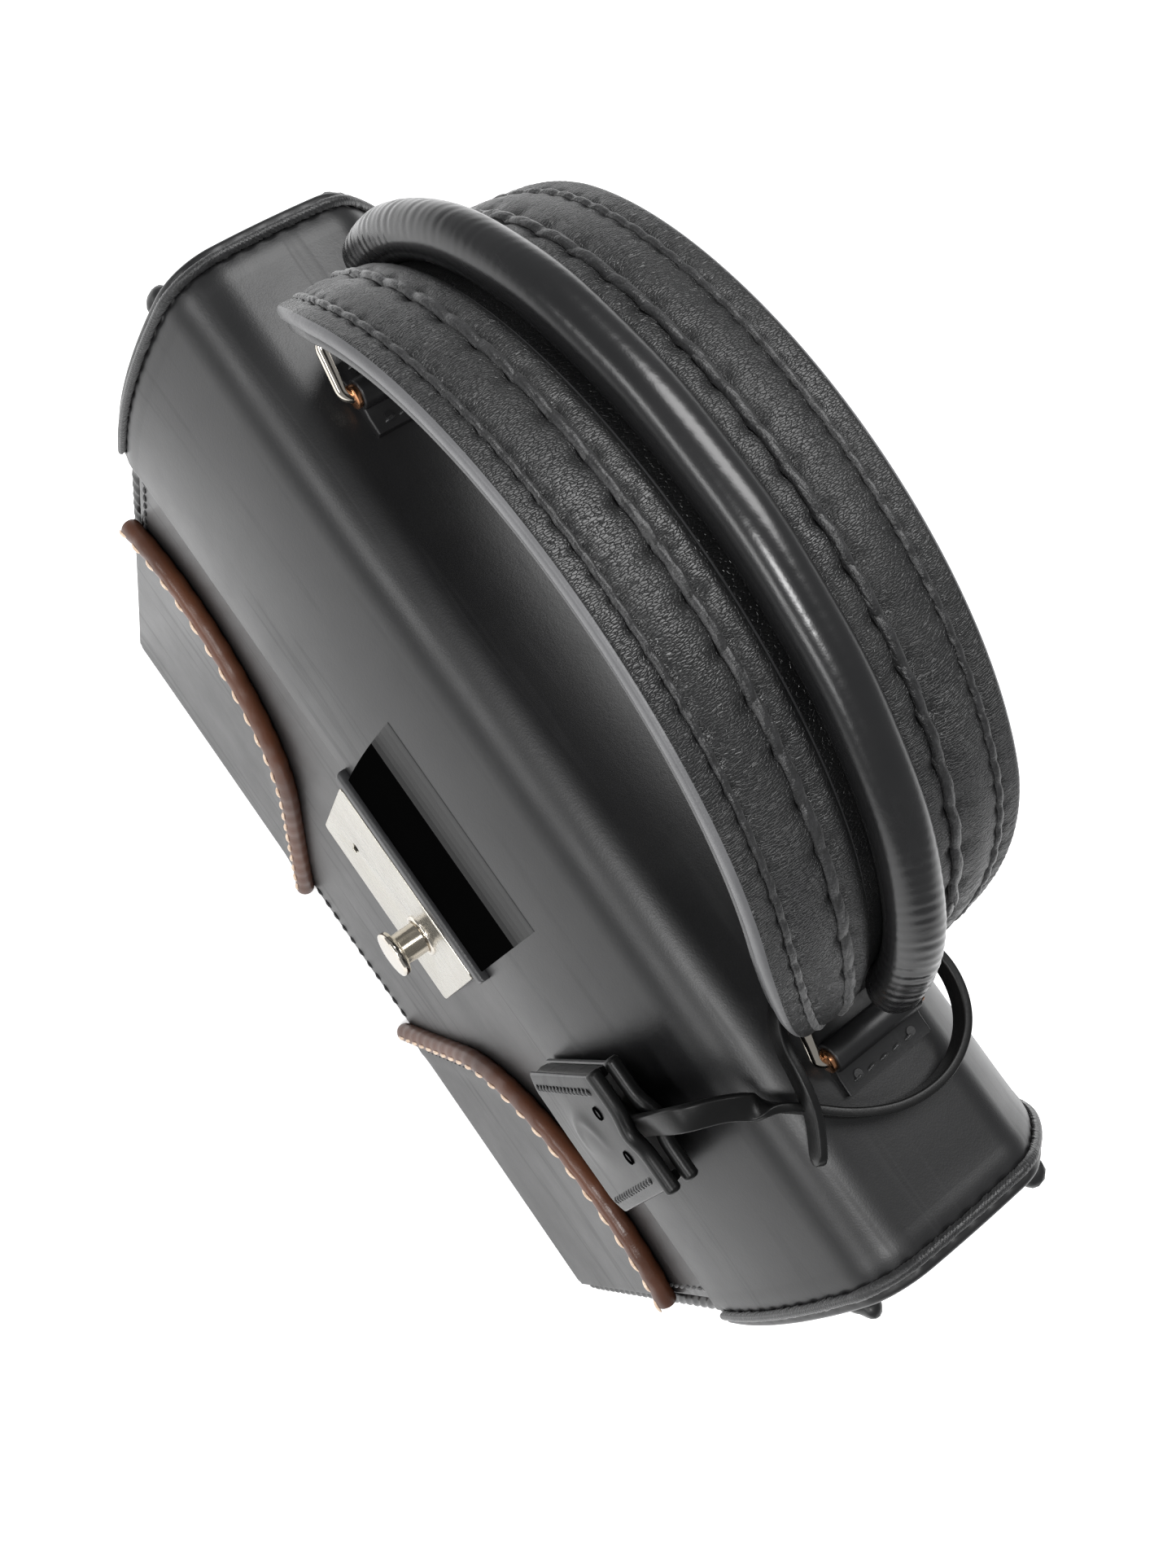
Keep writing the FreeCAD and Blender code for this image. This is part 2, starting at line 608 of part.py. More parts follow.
def build_flap():
    x = (-FLAP_X, FLAP_X)
    front = shell(0, dim("leather"), x, (-WIDE, 0), (dim("flap_edge_height"), TOP))
    back = shell(0, dim("leather"), x, (0, WIDE), (dim("hinge_height"), TOP))
    skin = front.fuse(back).removeSplitter()
    solid("flap_leather", skin)

    # leather lip over the lock: a raised block on the flap's front edge
    half = LOCK_X + 2
    lip = loaf(-dim("lip_proud"), 0, -half, half).cut(loaf(0, 0, -half - 1, half + 1))
    lip = lip.common(slab((-half, half), (-WIDE - 9, 0),
                          (dim("flap_edge_height"), dim("flap_edge_height") + dim("lip_height"))))
    solid("lock_lip", lip)

    # strike: a plate under the flap's edge whose tongue drops into the case's mouth
    inner = -FLAP_HALF + dim("leather")
    tongue_back = -HALF - 0.3 - dim("fit")
    tongue_x = dim("tongue_width") / 2
    edge_z = dim("flap_edge_height") - 0.02
    tongue = slab((-tongue_x, tongue_x), (tongue_back - dim("tongue_thick"), tongue_back),
                  (dim("lock_high") - dim("tongue_reach"), edge_z))
    foot = slab((-tongue_x, tongue_x), (-FLAP_HALF - 0.2, tongue_back), (edge_z - 1.2, edge_z))
    nose_low = dim("lock_high") - dim("tongue_reach") + 0.9
    notch_in = dim("bolt_travel") - 0.4
    notch = slab((tongue_x - notch_in, tongue_x + 1), (tongue_back - 3, tongue_back + 1),
                 (nose_low - 0.2, nose_low + 1.0))
    solid("strike", foot.fuse(tongue).removeSplitter().cut(notch))
    rivets = []
    for sx in (-1, 1):
        at = V(sx * tongue_x * 0.6, inner - dim("leather") / 2, edge_z)
        rivets.append(Part.makeCylinder(dim("rivet_radius"), dim("rivet_length"), at, Z_AXIS))
    drill(("flap_leather",), rivets)
    solid("strike_rivets", Part.makeCompound(rivets))

    # flap lining on the crown only, between the gussets' tops
    lining_x = (-GUSSET_IN + 6, GUSSET_IN - 6)
    crown = [half.points(dim("leather"))[2].y for half in (FRONT_HALF, REAR_HALF)]
    lining = shell(dim("leather"), dim("leather") + dim("suede"), lining_x, crown,
                   (dim("hinge_height"), TOP))
    solid("flap_lining", lining)


def ring_low():
    return dim("lid_height") + dim("ring_rise")


def build_chapes():
    """A leather loop on the lid for each ring, its bar bore open round the lower bar."""
    bore = dim("ring_wire") + 0.06
    wall = 1.8
    crown_drop = dim("chape_length") / 2
    for name, sx in (("left", -1), ("right", 1)):
        centre = V(sx * dim("ring_x"), -dim("chape_width") / 2, ring_low())
        loop = Part.makeCylinder(bore + wall, dim("chape_width"), centre, Y_AXIS)
        strap = slab((centre.x - crown_drop, centre.x + crown_drop),
                     (-dim("chape_width") / 2, dim("chape_width") / 2),
                     (dim("lid_height") - 3, ring_low() - dim("ring_wire") - 0.6))
        block = loop.fuse(strap).cut(loaf(0, 0, -FLAP_X, FLAP_X))
        hole = Part.makeCylinder(bore, dim("chape_width") + 2, centre - V(0, 1, 0), Y_AXIS)
        solid(f"chape_{name}", block.cut(hole).removeSplitter())
        studs = []
        for dx in (-1, 1):
            for dy in (-1, 1):
                spot = V(centre.x + dx * 5.6, dy * dim("chape_width") * 0.32, 0)
                low = dim("lid_height") - dim("leather") - dim("suede") - 1.4
                spot = spot + V(0, 0, low)
                stud = Part.makeCylinder(dim("screw_radius"), dim("stud_length"), spot, Z_AXIS)
                head = Part.makeCylinder(dim("screw_head"), dim("head_thick"), spot, Z_AXIS)
                studs.append(stud.fuse(head).removeSplitter())
        solid(f"chape_rivets_{name}", Part.makeCompound(studs))
        drill(("flap_leather", "flap_lining", f"chape_{name}"), studs)


# ---------------------------------------------------------------- rings and handle

def ring_path(x):
    """The ring's centreline at place x: four runs and four corner arcs, low run first."""
    bend = 2 * dim("ring_wire")
    half = dim("ring_width") / 2
    low, high = ring_low(), ring_low() + dim("ring_height")
    mid = V(x, 0, (low + high) / 2)
    edges = []
    reach = [(half, mid.z - low), (mid.z - low, half), (half, mid.z - low), (mid.z - low, half)]
    for quarter, (along, out) in enumerate(reach):
        spin = FreeCAD.Rotation(X_AXIS, 90 * quarter)
        start, end = V(0, bend - along, -out), V(0, along - bend, -out)
        corner = V(0, along - bend, bend - out)
        middle = corner + V(0, math.sqrt(0.5), -math.sqrt(0.5)) * bend
        after = corner + V(0, bend, 0)
        place = [mid + spin.multVec(point) for point in (start, end, middle, after)]
        edges.append(Part.makeLine(place[0], place[1]))
        edges.append(Part.Arc(place[1], place[2], place[3]).toShape())
    return Part.Wire(edges)


def build_rings():
    for name, sx in (("left", -1), ("right", 1)):
        x = sx * dim("ring_x")
        path = ring_path(x)
        section = Part.Wire(Part.makeCircle(dim("ring_wire"), path.Vertexes[0].Point, Y_AXIS))
        ring = path.makePipeShell([section], True, True)
        ring.rotate(V(x, 0, ring_low()), Y_AXIS, -dim("ring_lean"))
        solid(f"ring_{name}", ring)


def band_shell(outer, inner, width_scale=1.0):
    """The handle's arch between two inward offsets, cut to its crescent outline."""
    a, b = dim("handle_half"), dim("handle_rise")
    z_spring = spring_line()
    half = dim("handle_width") / 2

    def arch(offset, y_low, y_high):
        ellipse = Part.Ellipse(V(0, 0, z_spring), a - offset, b - offset)
        ellipse.Axis = V(0, -1, 0)
        arc = Part.ArcOfEllipse(ellipse, 0, math.pi).toShape()
        ends = [vertex.Point for vertex in arc.Vertexes]
        face = Part.Face(Part.Wire([arc, Part.makeLine(ends[1], ends[0])]))
        face.translate(V(0, y_low, 0))
        return face.extrude(V(0, y_high - y_low, 0))

    body = arch(outer, -half, half).cut(arch(inner, -half - 1, half + 1))
    end_half = dim("chape_width") / 2 * width_scale
    full = half * width_scale
    top = z_spring + b + 20
    waist = z_spring + b * 0.75
    knee = V(0, -full + (full - end_half) * 0.2, z_spring + b * 0.34)
    low = V(0, -end_half, z_spring - 1)
    edges = [Part.Arc(low, knee, V(0, -full, waist)).toShape(),
             Part.makeLine(V(0, -full, waist), V(0, -full, top)),
             Part.makeLine(V(0, -full, top), V(0, full, top)),
             Part.makeLine(V(0, full, top), V(0, full, waist)),
             Part.Arc(V(0, full, waist), mirror_y(knee), mirror_y(low)).toShape(),
             Part.makeLine(mirror_y(low), low)]
    blank = Part.Face(Part.Wire(edges))
    blank.translate(V(-a - 9, 0, 0))
    return body.common(blank.extrude(V(2 * a + 18, 0, 0)))


def ring_high():
    return ring_low() + dim("ring_height")


def spring_line():
    """Height where the handle's arch starts, above its end folds."""
    return ring_high() + 3.4


def roll_path(offset):
    a, b = dim("handle_half") + offset, dim("handle_rise") + offset
    ellipse = Part.Ellipse(V(0, 0, spring_line()), a, b)
    ellipse.Axis = V(0, -1, 0)
    return Part.Wire(Part.ArcOfEllipse(ellipse, 0.02, math.pi - 0.02).toShape())


def tube_along(path, radius):
    start = path.Edges[0]
    first = start.FirstParameter
    ring = Part.Wire(Part.makeCircle(radius, start.valueAt(first), start.tangentAt(first)))
    return path.makePipeShell([ring], True, True)


def ride_rings(shape):
    """The handle follows the rings' upper bars: it keeps level and swings over."""
    angle = math.radians(dim("ring_lean"))
    over, down = math.sin(angle), 1 - math.cos(angle)
    shape.translate(V(-over, 0, -down) * dim("ring_height"))
    return shape


def build_handle():
    band = band_shell(0, dim("band_thick"))
    under = band_shell(dim("band_thick"), dim("band_thick") + dim("underband_thick"), 0.97)
    rise = dim("roll_radius") * 0.45
    roll = tube_along(roll_path(rise), dim("roll_radius"))
    core = tube_along(roll_path(rise), dim("core_radius"))
    arch_in = band_shell(-0.05, dim("band_thick") + 20)
    solid("handle_band", ride_rings(band))
    solid("handle_underband", ride_rings(under))
    core = core.cut(arch_in)
    solid("handle_roll", ride_rings(roll.cut(arch_in).cut(core)))
    solid("handle_core", ride_rings(core))

    # end folds: the band's leather turned round each ring's upper bar
    bore = dim("ring_wire") + 0.06
    wall = 1.8
    thick = dim("band_thick") + dim("underband_thick")
    for name, sx in (("left", -1), ("right", 1)):
        x = sx * dim("ring_x")
        low = V(x, -dim("chape_width") / 2, ring_high())
        eye = Part.makeCylinder(bore + wall, dim("chape_width"), low, Y_AXIS)
        outer = sx * dim("handle_half")
        inner = sx * (dim("handle_half") - thick)
        x_pair = sorted((outer, min(abs(inner), dim("ring_x") - bore - wall) * sx))
        block = slab(x_pair, (-dim("chape_width") / 2, dim("chape_width") / 2),
                     (ring_high(), spring_line() - 0.02))
        hole = Part.makeCylinder(bore, dim("chape_width") + 2, low - V(0, 1, 0), Y_AXIS)
        solid(f"handle_end_{name}", ride_rings(eye.fuse(block).cut(hole).removeSplitter()))


# ---------------------------------------------------------------- key bell and strap

# strap centreline, tail end first: round the right ring's chape, then over the front
# shoulder and down into the bell
STRAP_LOOP = [
    (88.5, -23.5, 186.6), (82.5, -20.0, 188.8), (75.0, -18.6, 190.6), (66.0, -17.2, 190.0),
    (59.6, -11.0, 188.2), (57.8, -1.5, 188.0), (59.4, 9.0, 188.0), (65.6, 17.2, 187.6),
    (75.4, 20.2, 187.4), (85.2, 16.6, 187.6), (90.6, 7.6, 187.4), (90.2, -3.2, 187.2),
    (85.6, -12.4, 186.4), (79.6, -18.8, 185.6), (75.0, -24.8, 186.2),
]
STRAP_TURN = (70.6, -31.0, 187.0)
STRAP_FALL = [(67.6, -38.6, 186.0), (66.3, -41.2, 180.2), (66.05, -41.0, 169.4),
              (66.0, -41.0, 158.0)]


def rounded_route(points, floor_radius):
    """Straight runs joined by tangent arcs, each as large as its two runs allow."""
    points = [V(*p) for p in points]
    edges, here = [], points[0]
    for before, corner, after in zip(points, points[1:], points[2:]):
        toward = (corner - before) / (corner - before).Length
        away = (after - corner) / (after - corner).Length
        half_turn = toward.getAngle(away) / 2
        shorter = min((corner - before).Length, (after - corner).Length)
        radius = 0.45 * shorter / math.tan(half_turn)
        if radius < floor_radius:
            print("tight arc in the strap:", round(radius, 1))
        trim = radius * math.tan(half_turn)
        start, end = corner - toward * trim, corner + away * trim
        inward = (away - toward) / (away - toward).Length
        middle = corner + inward * (radius / math.cos(half_turn) - radius)
        edges.append(Part.LineSegment(here, start).toShape())
        edges.append(Part.Arc(start, middle, end).toShape())
        here = end
    edges.append(Part.LineSegment(here, points[-1]).toShape())
    return Part.Wire(edges)


def strap_solid(points):
    wire = rounded_route(points, 6 * dim("strap_radius"))
    tube = tube_along(wire, dim("strap_radius"))
    wanted = math.pi * dim("strap_radius") ** 2 * wire.Length
    print("strap piece: length", round(wire.Length, 1), "volume ratio",
          round(tube.Volume / wanted, 3))
    return tube


def build_bell():
    """Two trapezoid leathers joined at their sides, hung at the flap's front."""
    front_y = -FLAP_HALF - dim("bell_off") - dim("bell_gap") - dim("bell_leather")
    low, high = dim("bell_low"), dim("bell_low") + dim("bell_height")
    wide, top = dim("bell_width") / 2, dim("bell_top_width") / 2
    cx = dim("bell_x")
    wing = 3.0

    def trapezoid(inset, y, thick, z_low=low, z_high=high):
        corners = [V(cx - wide + inset, y, z_low), V(cx + wide - inset, y, z_low),
                   V(cx + top - inset, y, z_high), V(cx - top + inset, y, z_high)]
        face = Part.Face(Part.makePolygon(corners + corners[:1]))
        return face.extrude(V(0, thick, 0))

    pocket_depth = dim("bell_gap") / 2
    leather = dim("bell_leather")
    front = trapezoid(0, front_y, leather + pocket_depth)
    hollow = trapezoid(wing, front_y + leather, pocket_depth + 1, low - 1, high + 1)
    solid("bell_front", front.cut(hollow))
    back_y = front_y + leather + pocket_depth
    back = trapezoid(0, back_y, leather + pocket_depth)
    hollow = trapezoid(wing, back_y - 1, pocket_depth + 1, low - 1, high + 1)
    solid("bell_back", back.cut(hollow))

    middle = back_y
    hem_z = (high + 0.02, high + 2.6)
    hem = slab((cx - top, cx + top), (front_y - 0.4, front_y + 2 * leather + dim("bell_gap") + 0.4),
               hem_z)
    slot = slab((cx - 4.2, cx + 4.2), (middle - 3.0, middle + 3.0), (high - 1, high + 4))
    solid("bell_hem", hem.cut(slot))

    # two flat keys on a small split ring, hung on the strap's end inside the bell
    key_y = middle
    ring_z = STRAP_FALL[-1][2] - dim("strap_radius") - 3.2
    loop, thick = dim("key_loop"), dim("key_thick")
    flat = (-thick / 2, thick / 2)
    ring = Part.makeTorus(loop, 0.5, V(cx, key_y, ring_z), Y_AXIS)
    knot_low = V(cx, key_y, STRAP_FALL[-1][2] - 2.7)
    knot = Part.makeCylinder(dim("strap_radius"), 2.6, knot_low, Z_AXIS)
    solid("key_ring", knot.fuse(ring).removeSplitter())
    tip = -dim("key_length")
    for name, dy, tilt in (("a", -0.75, -9), ("b", 0.75, 10)):
        bow = Part.makeCylinder(dim("key_bow"), thick, V(0, -thick / 2, 0), Y_AXIS)
        eye = Part.makeCylinder(loop / 2, 4, V(0, -2, 2.2), Y_AXIS)
        blade = slab((-1.3, 1.3), flat, (tip, -3))
        bit = slab((-3.4, -1.2), flat, (tip, tip + 4))
        key = bow.fuse([blade, bit]).cut(eye).removeSplitter()
        key.rotate(V(0, 0, 2.2), Y_AXIS, tilt)
        key.translate(V(cx, key_y + dy, ring_z - loop - 2.2))
        solid(f"key_{name}", key.cut(Part.makeTorus(loop, 0.52, V(cx, key_y, ring_z), Y_AXIS)))


def build_strap():
    solid("strap_loop", strap_solid(STRAP_LOOP + [STRAP_TURN]))
    gap = V(*STRAP_FALL[0]) - V(*STRAP_TURN)
    fold_gap = 1.2                              # left open where the strap bends
    start = V(*STRAP_TURN) + gap / gap.Length * fold_gap
    solid("strap_fall", strap_solid([tuple(start)] + STRAP_FALL))


build_body()
build_patches()
build_welts()
case_screws = build_lock()
doc.recompute()
fit_screws(case_screws)
build_flap()
build_chapes()
build_rings()
build_handle()
build_bell()
build_strap()
doc.recompute()

os.makedirs("parts", exist_ok=True)
faults = [o.Label for o in doc.Objects if {"Invalid", "Error"} & set(o.State)]
faults += [o.Label for o in subparts if o.Shape.isNull() or not o.Shape.isValid()]
if faults:
    raise RuntimeError("failed objects: " + ", ".join(faults))
for sub in subparts:
    sub.Shape.exportStep(f"parts/{sub.Label}.step")
print(len(subparts), "sub-parts written")
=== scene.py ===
"""Looks for the push-lock handbag: leather skins, stitching, handle, key bell, metal and light.

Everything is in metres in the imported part's own frame: +Z up, X across the bag, -Y the front.
"""
import math

import bmesh
import bpy
import numpy as np
from mathutils import Matrix, Vector


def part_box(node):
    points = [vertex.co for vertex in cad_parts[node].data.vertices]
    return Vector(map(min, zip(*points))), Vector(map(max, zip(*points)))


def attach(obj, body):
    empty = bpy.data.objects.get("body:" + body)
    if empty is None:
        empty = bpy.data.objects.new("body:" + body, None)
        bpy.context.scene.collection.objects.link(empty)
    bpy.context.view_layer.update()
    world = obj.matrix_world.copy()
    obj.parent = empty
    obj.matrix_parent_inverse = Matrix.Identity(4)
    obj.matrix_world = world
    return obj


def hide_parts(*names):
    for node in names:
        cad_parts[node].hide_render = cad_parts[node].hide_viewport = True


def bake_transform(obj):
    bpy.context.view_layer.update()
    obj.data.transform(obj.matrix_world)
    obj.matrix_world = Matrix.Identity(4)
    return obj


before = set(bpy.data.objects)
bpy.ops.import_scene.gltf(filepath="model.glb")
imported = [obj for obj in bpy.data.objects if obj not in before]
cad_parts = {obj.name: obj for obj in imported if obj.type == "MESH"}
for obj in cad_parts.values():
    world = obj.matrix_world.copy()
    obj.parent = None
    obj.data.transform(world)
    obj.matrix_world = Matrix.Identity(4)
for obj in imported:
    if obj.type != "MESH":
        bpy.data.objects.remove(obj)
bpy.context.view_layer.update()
MM = 0.001
SIDES = ((-1, "left"), (1, "right"))
rng = np.random.default_rng(7)

# ---------------------------------------------------------------- camera and stage

LENS = 35.89                                 # mm, on a 36 mm sensor, long side of the picture
EYE = Vector((0.02961, -0.11712, 0.45212))
RIGHT = Vector((0.57698, 0.77800, 0.24862))
UP = Vector((-0.81368, 0.52111, 0.25763))
BACK = Vector((0.07087, -0.35094, 0.93371))


def add_camera():
    lens = bpy.data.cameras.new("camera")
    lens.lens = LENS
    lens.sensor_width = 36
    lens.clip_start = 0.01
    camera = bpy.data.objects.new("camera", lens)
    turn = Matrix((RIGHT, UP, BACK)).transposed()
    camera.matrix_world = Matrix.Translation(EYE) @ turn.to_4x4()
    bpy.context.scene.collection.objects.link(camera)
    bpy.context.scene.camera = camera


def add_light(name, place, aim, size, power, colour=(1, 1, 1)):
    """A rectangular soft box of size (along X, across) looking at a point."""
    data = bpy.data.lights.new(name, "AREA")
    data.shape = "RECTANGLE"
    data.size, data.size_y = size
    data.energy = power
    data.color = colour
    lamp = bpy.data.objects.new(name, data)
    lamp.location = place
    lamp.rotation_mode = "QUATERNION"
    lamp.rotation_quaternion = (Vector(aim) - Vector(place)).to_track_quat("-Z", "Y")
    bpy.context.scene.collection.objects.link(lamp)
    return lamp


def add_stage():
    floor_mesh = bpy.data.meshes.new("floor")
    reach = 3.0
    corners = [(-reach, -reach, 0), (reach, -reach, 0), (reach, reach, 0), (-reach, reach, 0)]
    floor_mesh.from_pydata(corners, [], [(0, 1, 2, 3)])
    floor = bpy.data.objects.new("floor", floor_mesh)
    floor.location.z = -0.0002
    bpy.context.scene.collection.objects.link(floor)
    white = bpy.data.materials.new("floor_white")
    white.use_nodes = True
    shader = white.node_tree.nodes["Principled BSDF"]
    shader.inputs["Base Color"].default_value = (0.97, 0.97, 0.97, 1)
    shader.inputs["Roughness"].default_value = 0.9
    shader.inputs["Specular IOR Level"].default_value = 0.1
    shader.inputs["Emission Color"].default_value = (1, 1, 1, 1)
    shader.inputs["Emission Strength"].default_value = 0.42
    floor_mesh.materials.append(white)

    world = bpy.data.worlds.new("studio")
    world.use_nodes = True
    sky = world.node_tree.nodes["Background"]
    sky.inputs["Color"].default_value = (0.97, 0.985, 1.0, 1)
    sky.inputs["Strength"].default_value = 0.36
    bpy.context.scene.world = world
    bpy.context.scene.view_settings.view_transform = "Standard"

    add_light("back_box", (-0.28, 0.38, 1.15), (0, 0, 0.18), (0.80, 0.50), 12)
    add_light("front_strip", (-0.1, -0.95, 0.62), (0, 0, 0.15), (1.3, 0.16), 6)
    add_light("floor_wash", (0.3, -0.9, 1.7), (-0.1, -0.2, 0), (0.35, 0.35), 14)


add_camera()
add_stage()

# ---------------------------------------------------------------- materials


class Nodes:
    """A short way to write a material's node tree."""

    def __init__(self, name):
        self.material = bpy.data.materials.new(name)
        self.material.use_nodes = True
        self.tree = self.material.node_tree
        self.shader = self.tree.nodes["Principled BSDF"]
        self.place = self.tree.nodes.new("ShaderNodeTexCoord").outputs["Object"]

    def set(self, **values):
        for name, value in values.items():
            self.shader.inputs[name.replace("_", " ")].default_value = value
        return self

    def node(self, kind, **values):
        made = self.tree.nodes.new(kind)
        for name, value in values.items():
            setattr(made, name, value)
        return made

    def link(self, source, target):
        self.tree.links.new(source, target)

    def noise(self, scale, detail=3.0, rough=0.5, stretch=(1, 1, 1)):
        """Noise value, stretched along the object's axes; scale is per metre."""
        mapping = self.node("ShaderNodeMapping")
        mapping.inputs["Scale"].default_value = stretch
        self.link(self.place, mapping.inputs["Vector"])
        noise = self.node("ShaderNodeTexNoise")
        noise.inputs["Scale"].default_value = scale
        noise.inputs["Detail"].default_value = detail
        noise.inputs["Roughness"].default_value = rough
        self.link(mapping.outputs["Vector"], noise.inputs["Vector"])
        return noise.outputs["Fac"]

    def cells(self, scale, feature="F1", stretch=(1, 1, 1)):
        mapping = self.node("ShaderNodeMapping")
        mapping.inputs["Scale"].default_value = stretch
        self.link(self.place, mapping.inputs["Vector"])
        cells = self.node("ShaderNodeTexVoronoi", feature=feature)
        cells.inputs["Scale"].default_value = scale
        self.link(mapping.outputs["Vector"], cells.inputs["Vector"])
        return cells.outputs["Distance"]

    def ramp(self, value, stops):
        """Map a value through (position, grey or colour) stops."""
        ramp = self.node("ShaderNodeValToRGB")
        elements = ramp.color_ramp.elements
        while len(elements) < len(stops):
            elements.new(0.5)
        for element, (position, colour) in zip(elements, stops):
            element.position = position
            grey = isinstance(colour, (int, float))
            element.color = (colour, colour, colour, 1) if grey else (*colour, 1)
        self.link(value, ramp.inputs["Fac"])
        return ramp.outputs["Color"]

    def math(self, operation, first, second):
        step = self.node("ShaderNodeMath", operation=operation)
        for socket, value in zip(step.inputs, (first, second)):
            if isinstance(value, (int, float)):
                socket.default_value = value
            else:
                self.link(value, socket)
        return step.outputs["Value"]

    def bump(self, *layers):
        """Chain (height, strength, distance) layers into the shader's normal."""
        last = None
        for height, strength, distance in layers:
            bump = self.node("ShaderNodeBump")
            bump.inputs["Strength"].default_value = strength
            bump.inputs["Distance"].default_value = distance
            self.link(height, bump.inputs["Height"])
            if last is not None:
                self.link(last, bump.inputs["Normal"])
            last = bump.outputs["Normal"]
        self.link(last, self.shader.inputs["Normal"])
        return self

    def colour(self, socket):
        self.link(socket, self.shader.inputs["Base Color"])
        return self

    def rough(self, socket):
        self.link(socket, self.shader.inputs["Roughness"])
        return self


def calf(name, dark, pale, rough, grain, sag=0.25, gloss=0.5):
    """Glazed calf: cloudy black, fine hair cells, slow waves and hairline scratches."""
    made = Nodes(name).set(IOR=1.5, Specular_IOR_Level=gloss)
    cloud = made.noise(22, 4, 0.6)
    made.colour(made.ramp(cloud, [(0.3, dark), (0.75, pale)]))
    scratch = made.noise(240, 2, 0.4, (0.06, 1.0, 1.0))
    lines = made.ramp(scratch, [(0.60, 0.0), (0.66, 0.06), (0.72, 0.0)])
    smear = made.ramp(made.noise(14, 5, 0.7), [(0.3, rough * 0.85), (0.7, rough * 1.2)])
    made.rough(made.math("ADD", smear, lines))
    pores = made.cells(2600)
    made.bump((made.noise(16, 2, 0.4), sag, 0.0025),
              (made.noise(900, 4, 0.6), grain, 0.00012),
              (pores, grain * 0.6, 0.00008))
    return made.material


def creased_calf(name, dark, pale, rough):
    """Softer handle leather with fine wrinkles across the handle's run."""
    made = Nodes(name).set(IOR=1.5)
    made.colour(made.ramp(made.noise(60, 5, 0.6), [(0.3, dark), (0.75, pale)]))
    made.rough(made.ramp(made.noise(45, 4, 0.6), [(0.3, rough * 0.8), (0.7, rough * 1.35)]))
    net = made.cells(1700, "DISTANCE_TO_EDGE", (1.6, 0.55, 1.3))
    wrinkle = made.ramp(net, [(0.0, 0.0), (0.10, 0.75), (0.4, 1.0)])
    made.bump((made.noise(70, 3, 0.5), 0.35, 0.0012),
              (wrinkle, 0.55, 0.00018),
              (made.noise(900, 4, 0.65), 0.30, 0.00012))
    return made.material


def thread(name, colour, shade, rough=0.6):
    """Waxed linen thread: plies that wind round it."""
    made = Nodes(name).set(IOR=1.45, Sheen_Weight=0.15)
    made.colour(made.ramp(made.noise(900, 3, 0.6), [(0.3, shade), (0.7, colour)]))
    made.rough(made.ramp(made.noise(500, 3, 0.5), [(0.3, rough * 0.75), (0.7, rough)]))
    made.bump((made.noise(2600, 2, 0.5), 0.6, 0.0002))
    return made.material


def metal(name, colour, shade, rough, brushed):
    made = Nodes(name).set(Metallic=1.0)
    made.colour(made.ramp(made.noise(60, 4, 0.6), [(0.3, shade), (0.7, colour)]))
    grain = made.noise(1400, 3, 0.6, (0.08, 1, 1))
    made.rough(made.ramp(grain, [(0.3, rough * 0.7), (0.7, rough * 1.3)]))
    made.bump((grain, brushed, 0.00005))
    return made.material


def fibrous(name, colour, shade, rough, nap):
    """Suede, board and rope: matt and hairy."""
    made = Nodes(name).set(IOR=1.4, Sheen_Weight=nap, Sheen_Roughness=0.5)
    made.colour(made.ramp(made.noise(180, 6, 0.7), [(0.25, shade), (0.75, colour)]))
    worn = [(0.3, rough * 0.85), (0.7, min(1, rough * 1.1))]
    made.rough(made.ramp(made.noise(400, 3, 0.6), worn))
    made.bump((made.noise(2400, 4, 0.7), 0.5, 0.0003))
    return made.material


BLACK = (0.0045, 0.0046, 0.0050)
BLACK_PALE = (0.0110, 0.0108, 0.0112)
BOX_CALF = calf("box_calf", BLACK, BLACK_PALE, 0.36, 0.16, 0.25, 0.42)
# Painted shade: matt near-black leather that stands in for the shade above the lock and inside the
# bell's holes.
PAINTED_SHADE_CALF = calf("painted_shade_calf", (0.001,) * 3, (0.0015,) * 3, 0.8, 0.2, 0.25, 0.0)
SHADE_FADE_STEPS = [calf(f"shade_fade_calf_{step}", (0.003,) * 3, (0.006,) * 3, 0.42, 0.16, 0.25, 0.07 * step)
          for step in range(1, 6)]             # painted shade fading out: ever glossier, for the pad's upper edge
HANDLE_CALF = creased_calf("handle_calf", BLACK, (0.012, 0.012, 0.012), 0.34)
ROLL_CALF = calf("roll_calf", BLACK, BLACK_PALE, 0.24, 0.12, 0.2)
STRAP_CALF = calf("strap_calf", (0.002,) * 3, (0.006,) * 3, 0.34, 0.2, 0.25, 0.26)
EDGE_PAINT = calf("edge_paint", (0.010, 0.010, 0.011), (0.03, 0.03, 0.032), 0.34, 0.3)
RIM_PAINT = calf("rim_paint", (0.05, 0.05, 0.052), (0.14, 0.14, 0.145), 0.36, 0.35)
BROWN = calf("brown_calf", (0.045, 0.014, 0.006), (0.13, 0.045, 0.020), 0.36, 0.35)
THREAD = thread("black_thread", (0.016, 0.016, 0.017), (0.005, 0.005, 0.005), 0.42)
CREAM = thread("cream_thread", (0.78, 0.62, 0.48), (0.52, 0.36, 0.25))
SUEDE = fibrous("suede", (0.20, 0.125, 0.075), (0.12, 0.072, 0.042), 0.95, 0.4)
BOARD = fibrous("fibre_board", (0.22, 0.17, 0.12), (0.13, 0.10, 0.07), 0.9, 0.1)
NICKEL = metal("satin_nickel", (0.50, 0.48, 0.43), (0.42, 0.40, 0.355), 0.26, 0.15)
BRIGHT = metal("bright_nickel", (0.62, 0.58, 0.52), (0.48, 0.44, 0.38), 0.12, 0.05)
STEEL = metal("lock_steel", (0.42, 0.42, 0.43), (0.28, 0.28, 0.29), 0.34, 0.2)
